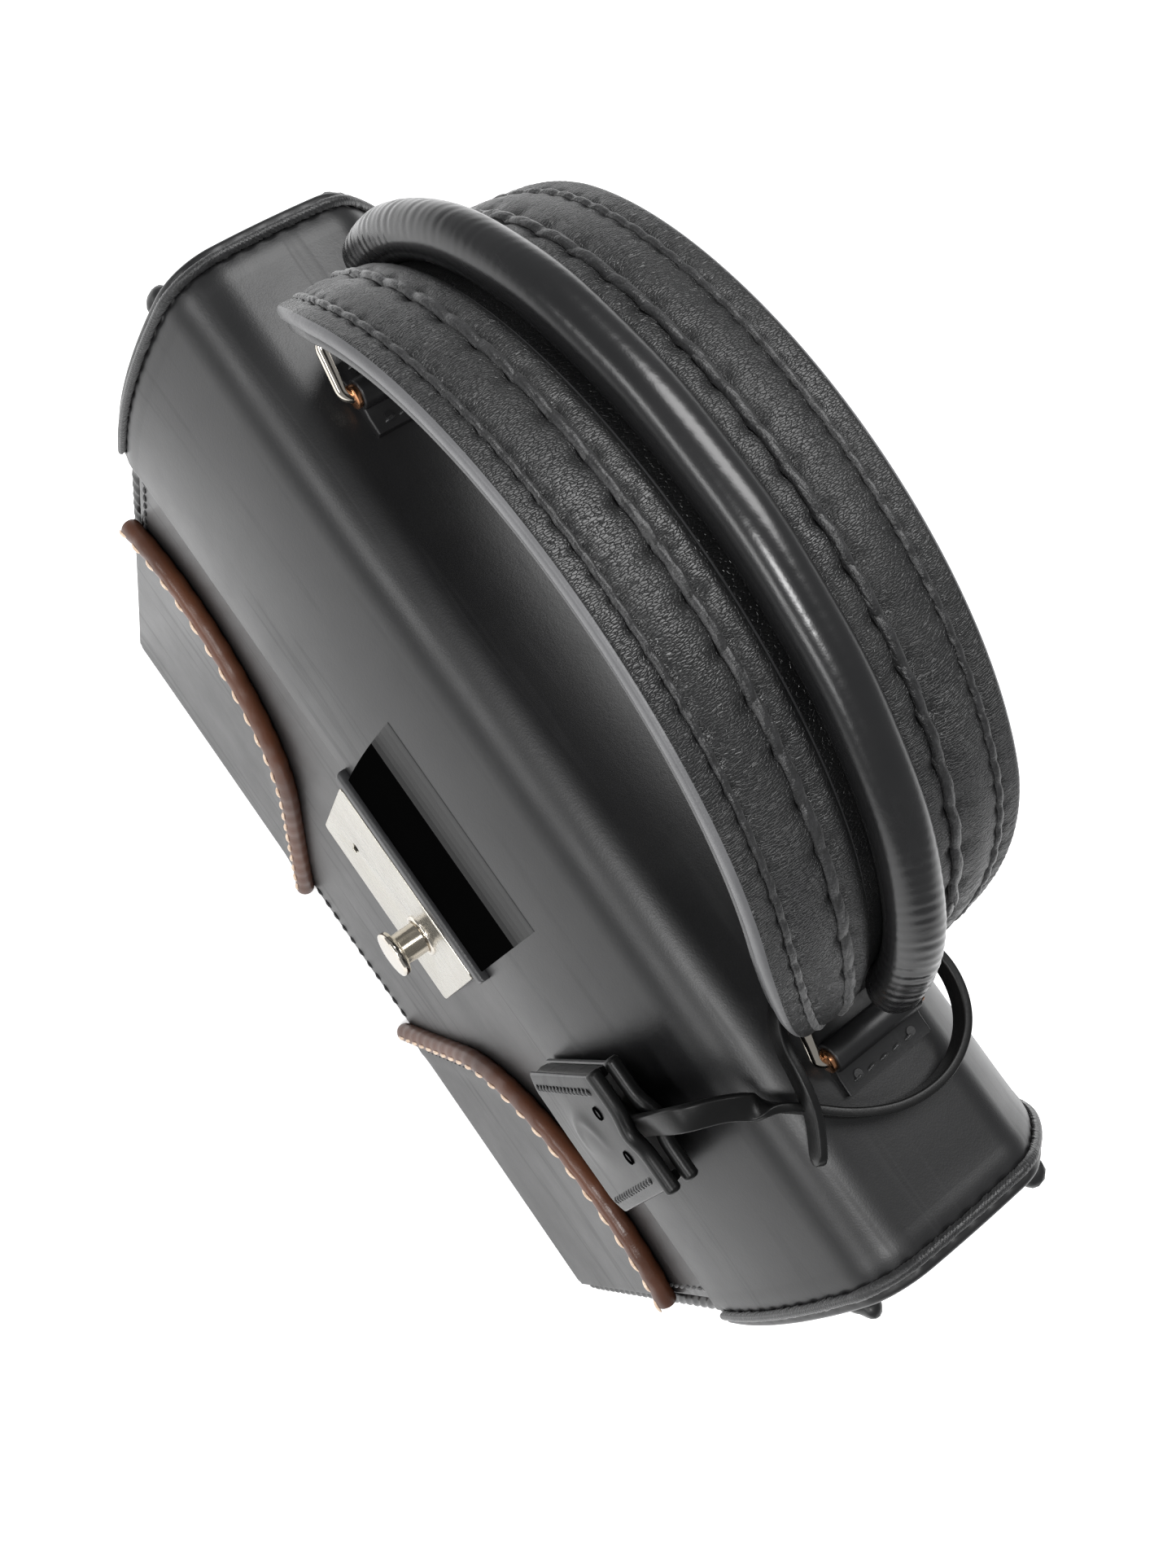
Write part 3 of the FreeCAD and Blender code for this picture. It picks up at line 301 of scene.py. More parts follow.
# Painted reflection: metal tinted brown to stand in for the brown leather reflected in the bar
# ends.
BROWN_TINT_METAL = metal("brown_reflection_metal", (0.55, 0.28, 0.14), (0.38, 0.17, 0.09), 0.28, 0.1)

# ---------------------------------------------------------------- mesh helpers


def put(name, verts, faces, material, body, nodes=(), kinds=None):
    """Make an object from arrays, ride it on a body and hide the CAD nodes it stands for."""
    mesh = bpy.data.meshes.new(name)
    mesh.from_pydata([tuple(map(float, v)) for v in verts], [], [tuple(f) for f in faces])
    for m in material if isinstance(material, (list, tuple)) else [material]:
        mesh.materials.append(m)
    if kinds is not None:
        mesh.polygons.foreach_set("material_index", np.array(kinds, np.int32))
    mesh.shade_smooth()
    mesh.set_sharp_from_angle(angle=math.radians(48))
    mesh.validate()
    piece = bpy.data.objects.new(name, mesh)
    bpy.context.scene.collection.objects.link(piece)
    if body:
        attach(piece, body)
    if nodes:
        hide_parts(*nodes)
    return piece


def unit(v):
    v = np.asarray(v, float)
    return v / np.maximum(np.linalg.norm(v, axis=-1, keepdims=True), 1e-12)


def grid_faces(rows, cols, first=0, flip=False, close=False):
    """Quads of a rows x cols grid of vertices, row by row."""
    faces = []
    for r in range(rows - 1):
        for c in range(cols if close else cols - 1):
            d = (c + 1) % cols
            quad = (first + r * cols + c, first + r * cols + d,
                    first + (r + 1) * cols + d, first + (r + 1) * cols + c)
            faces.append(quad[::-1] if flip else quad)
    return faces


def rim_lines(low, high, radius, count):
    """Grid lines from low to high, close together where the edge is rounded."""
    angles = np.linspace(0, math.pi / 2, 5)
    inset = radius * (1 - np.cos(angles))
    middle = np.linspace(low + radius, high - radius, count)[1:-1]
    return np.concatenate([low + inset, middle, (high - inset)[::-1]])


def rim_drop(values, low, high, radius):
    """How far the rounded edge falls below the face at each grid line."""
    near = np.minimum(values - low, high - values)
    inside = np.clip(radius - near, 0, radius)
    return radius - np.sqrt(np.maximum(radius ** 2 - inside ** 2, 0))


def skin(name, place, u, v, thick, material, body, nodes=(), radius=0.0008, relief=None,
         edge=None, lines=None, scale=(1, 1)):
    """A leather sheet: place(U, V, H) gives points at height H; its rim is rounded all round.
    u and v are (low, high, count); scale turns them into metres for the rim."""
    ru, rv = radius / scale[0], radius / scale[1]
    us, vs = rim_lines(*u[:2], ru, u[2]), rim_lines(*v[:2], rv, v[2])
    if lines:
        us, vs = lines(us, vs)
    U, W = np.meshgrid(us, vs, indexing="ij")
    drop_u = rim_drop(us, *u[:2], ru) * scale[0]
    drop_v = rim_drop(vs, *v[:2], rv) * scale[1]
    drop = np.minimum(np.hypot(*np.meshgrid(drop_u, drop_v, indexing="ij")), radius)
    rise = relief(U, W) if relief else 0
    top = place(U, W, -drop + rise).reshape(-1, 3)
    under = place(U, W, -thick + drop * 0.6).reshape(-1, 3)
    rows, cols = len(us), len(vs)
    count = rows * cols
    faces = grid_faces(rows, cols) + grid_faces(rows, cols, count, True)
    rim_u = (us < u[0] + ru * 0.99) | (us > u[1] - ru * 0.99)
    rim_v = (vs < v[0] + rv * 0.99) | (vs > v[1] - rv * 0.99)
    kinds = [int(bool(rim_u[r] and rim_u[r + 1]) or bool(rim_v[c] and rim_v[c + 1]))
             for r in range(rows - 1) for c in range(cols - 1)] * 2
    loop = [r * cols for r in range(rows)] + [(rows - 1) * cols + c for c in range(1, cols)]
    loop += [r * cols + cols - 1 for r in range(rows - 2, -1, -1)]
    loop += list(range(cols - 2, 0, -1))
    for here, there in zip(loop, loop[1:] + loop[:1]):
        faces.append((here, there, there + count, here + count))
        kinds.append(1)
    mats = [material, edge or material]
    piece = put(name, np.concatenate([top, under]), faces, mats, body, nodes, kinds=kinds)
    face_outward(piece)
    return piece


def face_outward(piece):
    work = bmesh.new()
    work.from_mesh(piece.data)
    bmesh.ops.recalc_face_normals(work, faces=work.faces)
    work.to_mesh(piece.data)
    work.free()


def frames(points, up):
    """Tangent, side and up vectors along a line; `up` is one vector or one per point."""
    points = np.asarray(points, float)
    tangent = unit(np.gradient(points, axis=0))
    up = np.broadcast_to(np.asarray(up, float), points.shape)
    side = unit(np.cross(tangent, up))
    return tangent, side, unit(np.cross(side, tangent))


def sweep(points, up, section, scale=None):
    """Vertices and faces of a section (side, up pairs) carried along points."""
    points = np.asarray(points, float)
    _, side, high = frames(points, up)
    section = np.asarray(section, float)
    if section.ndim == 2:
        section = np.broadcast_to(section, (len(points), *section.shape))
    if scale is not None:
        section = section * np.asarray(scale, float)[:, None, None]
    verts = (points[:, None] + side[:, None] * section[..., :1] + high[:, None] * section[..., 1:])
    sides = section.shape[1]
    faces = grid_faces(len(points), sides, close=True)
    verts = verts.reshape(-1, 3)
    faces += [tuple(range(sides))[::-1], tuple(len(verts) - sides + c for c in range(sides))]
    return verts, faces


def circle(radius, sides=16, squash=1.0):
    angles = np.arange(sides) * 2 * math.pi / sides
    return np.stack([np.cos(angles) * radius, np.sin(angles) * radius * squash], 1)


def resample(points, spacing=None, count=None):
    """Points at even arc length along a polyline."""
    points = np.asarray(points, float)
    steps = np.concatenate([[0], np.cumsum(np.linalg.norm(np.diff(points, axis=0), axis=1))])
    if count is None:
        count = max(2, int(round(steps[-1] / spacing)) + 1)
    at = np.linspace(0, steps[-1], count)
    return np.stack([np.interp(at, steps, points[:, k]) for k in range(points.shape[1])], 1)


STEPS = 12                                    # points along one stitch pitch


def stitches(name, line, normals, pitch, material, body, length=0.72, width=0.0009,
             lift=0.0002, slant=0.16, bow=0.35):
    """Sewn stitches along a line: each a plump slanted thread that dives into its holes.
    normals is one direction for the whole row, or one for each point of the line."""
    normals = np.broadcast_to(np.asarray(normals, float), np.shape(line))
    both = resample(np.concatenate([line, normals], 1), spacing=pitch / STEPS)
    spots = both[STEPS // 2::STEPS]
    tangents = unit(np.gradient(both[:, :3], axis=0))[STEPS // 2::STEPS]
    verts, faces = [], []
    rings, sides = 7, 8
    for spot, tangent in zip(spots, tangents):
        centre, normal = spot[:3], unit(spot[3:])
        side = unit(np.cross(normal, tangent))
        jitter = rng.normal(0, 0.05, 2)
        turn = slant + jitter[0]
        along = tangent * math.cos(turn) + side * math.sin(turn)
        across = unit(np.cross(normal, along))
        reach = pitch * length * (1 + jitter[1]) / 2
        base = len(verts)
        for k in range(rings):
            t = -1 + 2 * k / (rings - 1)
            fat = width / 2 * math.sqrt(max(1 - 0.86 * t * t, 0.05))
            height = lift + width * bow * (1 - t * t) - width * 0.25
            middle = centre + along * reach * t + normal * height
            for a in range(sides):
                angle = 2 * math.pi * a / sides
                verts.append(middle + across * fat * math.cos(angle)
                             + normal * fat * math.sin(angle) * 0.8)
        faces += grid_faces(rings, sides, base, close=True)
        last = base + (rings - 1) * sides
        faces += [tuple(base + a for a in range(sides))[::-1],
                  tuple(last + a for a in range(sides))]
    return put(name, verts, faces, material, body)


def in_mm(*pairs):
    return [(x * MM, y * MM) for x, y in pairs]


def plate(name, outlines, thick, bevel, to_frame, material, body, nodes=()):
    """A flat piece cut from outlines (the first is the outside, the rest holes), edges rounded.
    to_frame turns its own x, y and height into the part's frame."""
    curve = bpy.data.curves.new(name, "CURVE")
    curve.dimensions = "2D"
    curve.fill_mode = "BOTH"
    curve.extrude = thick / 2 - bevel
    curve.bevel_depth = bevel
    curve.bevel_resolution = 3
    curve.offset = -bevel
    for outline in outlines:
        spline = curve.splines.new("POLY")
        spline.points.add(len(outline) - 1)
        for point, (x, y) in zip(spline.points, outline):
            point.co = (x, y, 0, 1)
        spline.use_cyclic_u = True
    holder = bpy.data.objects.new(name + "_curve", curve)
    mesh = bpy.data.meshes.new_from_object(holder)
    bpy.data.objects.remove(holder)
    co = np.array([v.co for v in mesh.vertices], float)
    faces = [tuple(p.vertices) for p in mesh.polygons]
    bpy.data.meshes.remove(mesh)
    piece = put(name, to_frame(co), faces, material, body, nodes)
    work = bmesh.new()
    work.from_mesh(piece.data)
    bmesh.ops.remove_doubles(work, verts=work.verts, dist=1e-6)
    bmesh.ops.recalc_face_normals(work, faces=work.faces)
    work.to_mesh(piece.data)
    work.free()
    piece.data.shade_smooth()
    piece.data.set_sharp_from_angle(angle=math.radians(35))
    return piece


def lathe(name, profile, centre, axis, material, body, nodes=(), sides=48):
    """Turn (radius, height) pairs about an axis through centre."""
    axis = unit(axis)
    first = unit(np.cross(axis, (0.3, 0.5, 0.81)))
    second = np.cross(axis, first)
    verts = []
    for radius, height in profile:
        for k in range(sides):
            angle = 2 * math.pi * k / sides
            verts.append(np.array(centre) + axis * height
                         + (first * math.cos(angle) + second * math.sin(angle)) * max(radius, 1e-6))
    faces = grid_faces(len(profile), sides, close=True)
    faces += [tuple(range(sides))[::-1], tuple(len(verts) - sides + k for k in range(sides))]
    piece = put(name, verts, faces, material, body, nodes)
    face_outward(piece)
    return piece


def paint(material, *nodes):
    """Give CAD nodes a procedural material."""
    for name in nodes:
        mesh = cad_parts[name].data
        mesh.materials.clear()
        mesh.materials.append(material)


# ---------------------------------------------------------------- the loaf profile

flap_low, flap_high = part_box("flap_leather")
HALF = -flap_low.y                            # middle to the flap's front face
LID_TOP = flap_high.z
FLAP_X = flap_high.x
FLAP_EDGE = flap_low.z
panel_low, panel_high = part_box("front_panel")
PANEL_X = panel_high.x
PANEL_Y = panel_low.y
BASE_TOP = panel_low.z
LEATHER = 2.2 * MM
SIDE_START, CROWN_R = 0.125, 0.170
FRONT_ARCS, REAR_ARCS = (0.130, 0.015), (0.080, 0.010)    # leaning side and shoulder radii
HINGE_Z = 0.145


def half_profile(offset, foot, side_r, shoulder_r):
    """Points and normals of one half of the lid's cross-section as (y, z), foot to top."""
    side, crown = np.array([side_r - HALF, SIDE_START]), np.array([0, LID_TOP - CROWN_R])
    gap = crown - side
    span = np.linalg.norm(gap)
    r_near, r_far = side_r - shoulder_r, CROWN_R - shoulder_r
    along = (span ** 2 + r_near ** 2 - r_far ** 2) / (2 * span)
    aside = math.sqrt(r_near ** 2 - along ** 2)
    direction = gap / span
    normal = np.array([-direction[1], direction[0]])
    spots = (side + direction * along + normal * sign * aside for sign in (-1, 1))
    shoulder = max(spots, key=lambda spot: spot[1])
    lean = math.atan2(*(shoulder - side)[::-1])
    flat = math.atan2(*(shoulder - crown)[::-1])
    points = [(offset - HALF, z) for z in np.linspace(foot, SIDE_START, 40)]
    normals = [(-1.0, 0.0)] * len(points)
    arcs = ((side, side_r, math.pi, lean), (shoulder, shoulder_r, lean, flat),
            (crown, CROWN_R, flat, math.pi / 2))
    for centre, radius, start, end in arcs:
        for angle in np.linspace(start, end, 60)[1:]:
            out = np.array([math.cos(angle), math.sin(angle)])
            points.append(tuple(centre + out * (radius - offset)))
            normals.append(tuple(out))
    return np.array(points), np.array(normals)


class Loaf:
    """The lid's cross-section at an inward offset, from a foot height at the front over to
    the back, as a line that is read by arc length."""

    def __init__(self, offset, foot):
        front, front_out = half_profile(offset, foot, *FRONT_ARCS)
        rear, rear_out = half_profile(offset, foot, *REAR_ARCS)
        mirror = np.array([-1, 1])
        self.points = np.concatenate([front, rear[-2::-1] * mirror])
        self.normals = np.concatenate([front_out, rear_out[-2::-1] * mirror])
        steps = np.linalg.norm(np.diff(self.points, axis=0), axis=1)
        self.run = np.concatenate([[0], np.cumsum(steps)])
        self.length = self.run[-1]

    def at(self, x, s, h):
        """Points h above the line at arc length s and place x; all arrays alike."""
        y, z = (np.interp(s, self.run, self.points[:, k]) for k in (0, 1))
        ny, nz = (np.interp(s, self.run, self.normals[:, k]) for k in (0, 1))
        return np.stack([np.broadcast_to(x, np.shape(s)), y + ny * h, z + nz * h], -1)

    def normal(self, s):
        ny, nz = (np.interp(s, self.run, self.normals[:, k]) for k in (0, 1))
        return unit(np.stack([0 * ny, ny, nz], -1))

    def front_s(self, z):
        """Arc length where the front rises past height z."""
        top = int(np.argmax(self.points[:, 1]))
        return float(np.interp(z, self.points[:top, 1], self.run[:top]))

    def back_s(self, z):
        """Arc length where the back falls past height z."""
        top = int(np.argmax(self.points[:, 1]))
        return float(np.interp(-z, -self.points[top:, 1], self.run[top:]))


OUT = Loaf(0, FLAP_EDGE)                      # flap's outer face
BODY = Loaf(2.6 * MM, BASE_TOP)               # body panels' outer face
SEAM = 3.1 * MM                               # stitch line in from the flap's end edges
SEAM_PITCH = 4.8 * MM


def dips(run, pitch, depth, width):
    """Small hollows at every stitch hole along a run."""
    phase = (run / pitch) % 1.0
    near = np.minimum(phase, 1 - phase) * pitch
    return -depth * np.exp(-(near / width) ** 2)


def bell_curve(x, width):
    return np.exp(-(x / width) ** 2)


def build_flap():
    end = OUT.back_s(HINGE_Z)

    def relief(x, s):
        from_end = FLAP_X - np.abs(x)
        seam = bell_curve(from_end - SEAM, 1.1 * MM)
        pull = dips(s, SEAM_PITCH, 0.55 * MM, 1.1 * MM) * seam
        swell = 0.22 * MM * bell_curve(from_end - 6.5 * MM, 2.2 * MM) - 0.12 * MM * seam
        swell -= 0.30 * MM * bell_curve(from_end, 2.2 * MM)
        wave = 0.22 * MM * np.sin(x * 41 + 1.3) * np.sin(s * 63 + 0.7)
        wave += 0.12 * MM * np.sin(x * 23 - 2) * np.sin(s * 30 + 2)
        calm = np.clip(s / 0.02, 0, 1) * np.clip((end - s) / 0.02, 0, 1)
        return pull + swell + wave * calm

    def lines(us, vs):
        fine = np.linspace(1.2 * MM, 9 * MM, 14)
        us = np.unique(np.concatenate([us, -FLAP_X + fine, FLAP_X - fine]).round(7))
        return us, vs

    skin("flap_outer", OUT.at, (-FLAP_X, FLAP_X, 60), (0, end, 330), LEATHER, BOX_CALF, "flap",
         ["flap_leather", "strike_rivets"], 0.9 * MM, relief, EDGE_PAINT, lines)
    for side, name in SIDES:
        s = np.linspace(2.2 * MM, end - 3 * MM, 200)
        line = OUT.at(side * (FLAP_X - SEAM), s, 0.1 * MM)
        stitches(f"flap_seam_{name}", line, OUT.normal(s), SEAM_PITCH, THREAD, "flap",
                 0.86, 1.5 * MM, 0.32 * MM, side * 0.34, 0.5)
    # the lining under the lid
    low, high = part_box("flap_lining")
    inner = Loaf(LEATHER, FLAP_EDGE)
    span = (inner.front_s(low.z + 0.3 * MM), inner.back_s(low.z + 0.3 * MM))
    skin("flap_suede", inner.at, (low.x, high.x, 20), (*span, 90), 0.8 * MM, SUEDE, "flap",
         ["flap_lining"], 0.3 * MM)


SHADE_FADE_FROM, SHADE_TOP = 0.148, 0.158              # where the pad's painted shade starts to fade, and where the pad ends


def build_lip():
    """The leather strip over the lock, and the padded rise above it, coloured with painted shade
    that fades out near its top.
    """
    low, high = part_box("lock_lip")
    proud = -low.y - HALF
    strip = 3.0 * MM
    rise_end = OUT.front_s(SHADE_TOP)

    def wedge(x, s):
        fall = np.clip(1 - (s - strip) / (rise_end - strip), 0, 1)
        return fall * proud * 0.30

    # painted shade: the rise is matt near-black, standing in for the shade above the lock
    shade_pad = skin("lock_shade_pad", OUT.at, (low.x + 2.5 * MM, high.x - 2 * MM, 30),
               (1.5 * MM, rise_end, 60), 0.3 * MM, PAINTED_SHADE_CALF, "flap", (),
               0.25 * MM, lambda x, s: 0.12 * MM + wedge(x, s))
    # its upper faces take ever glossier dark leathers, so the painted shade fades out
    for shade in SHADE_FADE_STEPS:
        shade_pad.data.materials.append(shade)
    for face in shade_pad.data.polygons:
        fade = (face.center.z - SHADE_FADE_FROM) / (SHADE_TOP - SHADE_FADE_FROM)
        if fade > 0:
            step = min(int(fade * len(SHADE_FADE_STEPS)), len(SHADE_FADE_STEPS) - 1)
            face.material_index = len(shade_pad.data.materials) - len(SHADE_FADE_STEPS) + step
    skin("lip_strip", lambda x, s, h: OUT.at(x, s, h + proud), (low.x, high.x, 50),
         (-1.4 * MM + 1e-4, strip, 8), proud + 0.4 * MM, BOX_CALF, "flap",
         ["lock_lip"], 0.9 * MM, None, EDGE_PAINT)


build_flap()
build_lip()

# ---------------------------------------------------------------- body panels


def panel_swell(x, s):
    """Body panels belly out a little low down between the corner patches."""
    across = np.clip(1 - (x / 0.085) ** 2, 0, 1) ** 2
    up = np.clip(np.sin(np.clip((s + 0.012) / 0.09, 0, 1) * math.pi), 0, 1)
    return 1.3 * MM * across * up


def build_panels():
    top = BODY.front_s(panel_high.z)
    back_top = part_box("back_panel")[1].z

    def place_front(x, s, h):
        return BODY.at(x, s, h)

    def place_back(x, s, h):
        return BODY.at(x, BODY.length - s, h)

    def relief(x, s):
        return panel_swell(x, s)

    skin("front_leather", place_front, (-PANEL_X, PANEL_X, 90), (0, top, 110), LEATHER, BOX_CALF,
         "case", ["front_panel"], 0.7 * MM, relief, EDGE_PAINT)
    back_rise = BODY.length - BODY.back_s(back_top)
    skin("back_leather", place_back, (-PANEL_X, PANEL_X, 90), (0, back_rise, 100), LEATHER,
         BOX_CALF, "case", ["back_panel"], 0.7 * MM, relief, EDGE_PAINT)
    pitch = 4.2 * MM
    foot = 3.2 * MM
    for name, place in (("front", place_front), ("back", place_back)):
        reach = 0.0235 if name == "front" else PANEL_X - 6 * MM
        x = np.linspace(-reach, reach, 80)
        s = np.full_like(x, foot)
        line = place(x, s, panel_swell(x, s) + 0.05 * MM)
        stitches(f"{name}_base_seam", line, (0, -1 if name == "front" else 1, 0),
                 pitch, THREAD, "case", 0.7, 0.9 * MM, 0.1 * MM, 0.1)
        sign = -1 if name == "front" else 1
        for side, hand in SIDES:
            z = np.linspace(foot + 3 * MM, BODY.front_s(0.143), 160)
            line = place(np.full_like(z, side * (PANEL_X - 2.6 * MM)), z, 0.05 * MM)
            stitches(f"{name}_side_seam_{hand}", line, (0, sign, 0), pitch, THREAD, "case",
                     0.74, 0.9 * MM, 0.1 * MM, 0.16)


GUSSET_DISH = 1.4 * MM


def build_gussets():
    """End panels, dished a little, with a row of stitches inside their rim."""
    for side, hand in SIDES:
        low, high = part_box(f"gusset_{hand}")
        x = high.x if side > 0 else low.x
        loaf = Loaf(4.8 * MM, BASE_TOP)
        half = loaf.length / 2

        def place(u, v, h, x=x, side=side, loaf=loaf, half=half):
            """v runs up each half of the outline, u from the front edge to the back one."""
            front = loaf.at(0, v, 0)
            back = loaf.at(0, loaf.length - v, 0)
            blend = u[..., None]
            point = front * (1 - blend) + back * blend
            point[..., 0] = x + side * h
            return point

        def relief(u, v, half=half):
            up = np.sin(np.pi * np.clip(v / half, 0, 1)) ** 0.6
            return -GUSSET_DISH * np.sin(np.pi * u) ** 0.8 * up

        skin(f"gusset_skin_{hand}", place, (0, 1, 40), (0, half - 2.2 * MM, 70), LEATHER,
             BOX_CALF, "case", [f"gusset_{hand}"], 0.6 * MM, relief, EDGE_PAINT,
             None, (0.06, 1))
        inner = Loaf(4.8 * MM + 3 * MM, BASE_TOP + 3 * MM)
        s = np.linspace(0, inner.length, 300)
        line = inner.at(x + side * 0.02 * MM, s, 0)
        stitches(f"gusset_seam_{hand}", line, (side, 0, 0), 4.2 * MM, THREAD,
                 "case", 0.72, 0.9 * MM, -0.1 * MM, 0.16)


def build_base():
    low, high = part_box("base_panel")

    def place(x, y, h):
        return np.stack([x, y, low.z - h], -1)

    skin("base_leather", place, (low.x, high.x, 40), (low.y, high.y, 20), high.z - low.z, BOX_CALF,
         "case", ["base_panel"], 1.0 * MM, None, EDGE_PAINT)


build_panels()
build_gussets()
build_base()

# ---------------------------------------------------------------- corner patches and piping

PATCH_R, PATCH_X, PATCH_Z, PATCH_FOOT = 0.050, 0.088, 0.041, 0.0247
PATCH_THICK = PANEL_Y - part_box("patch_right")[0].y
PIPE_R = 2.6 * MM


def patch_curve(inset, low, count=60):
    """The patch's inner edge for the right-hand side, from the base up and round to the
    gusset, moved inward by inset: a straight run and then an arc."""
    centre = np.array([PATCH_X, PATCH_Z])
    foot = np.array([PATCH_FOOT, 0.0])
    reach = centre - foot
    far = np.linalg.norm(reach)
    lean = math.atan2(reach[1], reach[0]) + math.asin(PATCH_R / far)
    touch = foot + np.array([math.cos(lean), math.sin(lean)]) * math.sqrt(far ** 2 - PATCH_R ** 2)
    out = (touch - centre) / PATCH_R
    radius = PATCH_R - inset
    start = foot - out * inset
    slope = unit(touch - foot)
    start = start + slope * ((low - start[1]) / slope[1])
    end = math.acos((PANEL_X - PATCH_X) / radius)
    angles = np.linspace(math.atan2(out[1], out[0]), end, count)
    arc = centre + radius * np.stack([np.cos(angles), np.sin(angles)], 1)
    straight = start + (arc[0] - start) * np.linspace(0, 1, 20)[:-1, None]
    return np.concatenate([straight, arc])


def build_patches():
    for side, hand in SIDES:
        rim = patch_curve(PIPE_R + 0.1 * MM, 0)
        corner = np.array([PANEL_X, 0.0])

        def place(u, v, h, rim=rim, side=side, corner=corner):
            """u runs along the curved edge, v from the outer corner out to it."""
            steps = np.linspace(0, 1, len(rim))
            edge = np.stack([np.interp(u, steps, rim[:, k]) for k in (0, 1)], -1)
            flat = corner + (edge - corner) * v[..., None]
            y = PANEL_Y - PATCH_THICK - h
            return np.stack([side * flat[..., 0], y, flat[..., 1]], -1)

        def relief(u, v):
            edge_roll = 0.30 * MM * bell_curve((1 - v) * 0.06 - 3.5 * MM, 1.6 * MM)
            hollow = -0.22 * MM * np.sin(np.pi * u) * np.sin(np.pi * v)
            return edge_roll + hollow

        skin(f"patch_skin_{hand}", place, (0, 1, 70), (0.004, 1, 40), PATCH_THICK + 0.2 * MM,
             BOX_CALF, "case", [f"patch_{hand}"], 0.7 * MM, relief, EDGE_PAINT,
             None, (0.11, 0.06))
        seam = patch_curve(PIPE_R + 3.4 * MM, 4 * MM)[2:-4]
        face = np.full(len(seam), PANEL_Y - PATCH_THICK)
        line = np.stack([side * seam[:, 0], face, seam[:, 1]], 1)
        stitches(f"patch_seam_{hand}", line - [0, 0.12 * MM, 0], (0, -1, 0),
                 3.4 * MM, THREAD, "case", 0.66, 0.7 * MM, 0.05 * MM, side * 0.1)
        route = patch_curve(0, PIPE_R)
        pipe = np.stack([side * route[:, 0], np.full(len(route), PANEL_Y - PIPE_R), route[:, 1]], 1)
        pipe = resample(pipe, 0.8 * MM)
        run = np.arange(len(pipe)) * 0.8 * MM
        swell = 1 + 0.035 * np.sin(run * 2 * math.pi / (6.4 * MM))
        verts, faces = sweep(pipe, (0, -1, 0), circle(PIPE_R * 0.98, 20), swell)
        put(f"piping_roll_{hand}", verts, faces, BROWN, "case", [f"piping_{hand}"])
        crest = pipe + np.array([0, -PIPE_R * 0.97, 0])
        stitches(f"piping_stitch_{hand}", crest, (0, -1, 0), 6.4 * MM, CREAM,
                 "case", 0.62, 1.15 * MM, 0.12 * MM, 0.04, 0.25)


KNOT, KNOT_OUT = 3.2 * MM, 3.2 * MM           # lump at a welt's end: radius, offset outward


def build_welts():
    """Rolled corner welts wound with thread, each ending in a folded lump."""
    radius = 1.8 * MM
    loaf = Loaf(4.4 * MM, radius)
    for side, hand in SIDES:
        for back in (False, True):
            name = f"welt_{'rear' if back else 'front'}_{hand}"
            x = side * (PANEL_X + radius + 0.05 * MM)
            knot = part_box(name)[1].z - KNOT
            end = loaf.length - loaf.back_s(knot) if back else loaf.front_s(knot)
            s = np.linspace(0, end, 260)
            line = loaf.at(x, s if not back else loaf.length - s, 0)
            line[:, 0] += side * KNOT_OUT * bell_curve(s - end + 1.5 * MM, 4.5 * MM)
            turns = s / (5.2 * MM) * 2 * math.pi
            angles = np.arange(14) * 2 * math.pi / 14
            radii = radius * (1 + 0.13 * np.cos(2 * angles[None] - turns[:, None]))
            twist = 0.85 + 0.15 * np.cos(turns)
            lump = 1 + 0.75 * bell_curve(s - end + 2.5 * MM, 2.4 * MM) * twist
            fade = np.sqrt(np.clip((end - s) / (1.5 * MM), 0.02, 1))
            radii = radii * (lump * fade)[:, None]
            section = np.stack([np.cos(angles)[None] * radii, np.sin(angles)[None] * radii], -1)
            verts, faces = sweep(line, (side, 0, 0), section)
            put(name + "_roll", verts, faces, BOX_CALF, "case", [name])


build_patches()
build_welts()

# ---------------------------------------------------------------- lining and boards


def build_inside():
    paint(BOARD, "front_board", "back_board", "base_board")
    for side, node in (("front", "lining_front"), ("back", "lining_back")):
        low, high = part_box(node)
        loaf = Loaf(6.0 * MM, low.z)
        top = loaf.front_s(high.z)

        def place(x, s, h, loaf=loaf, side=side):
            return loaf.at(x, s if side == "front" else loaf.length - s, h)

        skin(f"suede_{side}", place, (low.x, high.x, 40), (0, top, 50), 0.8 * MM, SUEDE, "case",
             [node], 0.3 * MM)
    for side, hand in SIDES:
        paint(SUEDE, f"lining_{hand}")
    paint(SUEDE, "lining_base")


build_inside()

# ---------------------------------------------------------------- lock


def rounded_rectangle(x, z, radius, steps=6):
    """Outline of a rectangle between (low, high) pairs with rounded corners."""
    points = []
    corners = ((x[1], z[1], 0), (x[0], z[1], 1), (x[0], z[0], 2), (x[1], z[0], 3))
    for cx, cz, quarter in corners:
        centre = (cx - radius * (1 if cx == x[1] else -1), cz - radius * (1 if cz == z[1] else -1))
        for k in range(steps + 1):
            angle = math.pi / 2 * (quarter + k / steps)
            points.append((centre[0] + radius * math.cos(angle),
                           centre[1] + radius * math.sin(angle)))
    return points


def ring_outline(x, z, radius, steps=32):
    angles = [2 * math.pi * k / steps for k in range(steps)]
    return [(x + radius * math.cos(a), z + radius * math.sin(a)) for a in angles]


def keyhole(x, z, radius):
    """A round eye with a slot below it."""
    eye = [(x + radius * math.sin(a), z + radius * math.cos(a)) for a in np.linspace(-2.6, 2.6, 24)]
    return eye + [(x + radius * 0.62, z - radius * 2.7), (x - radius * 0.62, z - radius * 2.7)]


KEYHOLE = (-15 * MM, 97 * MM)                 # across and up


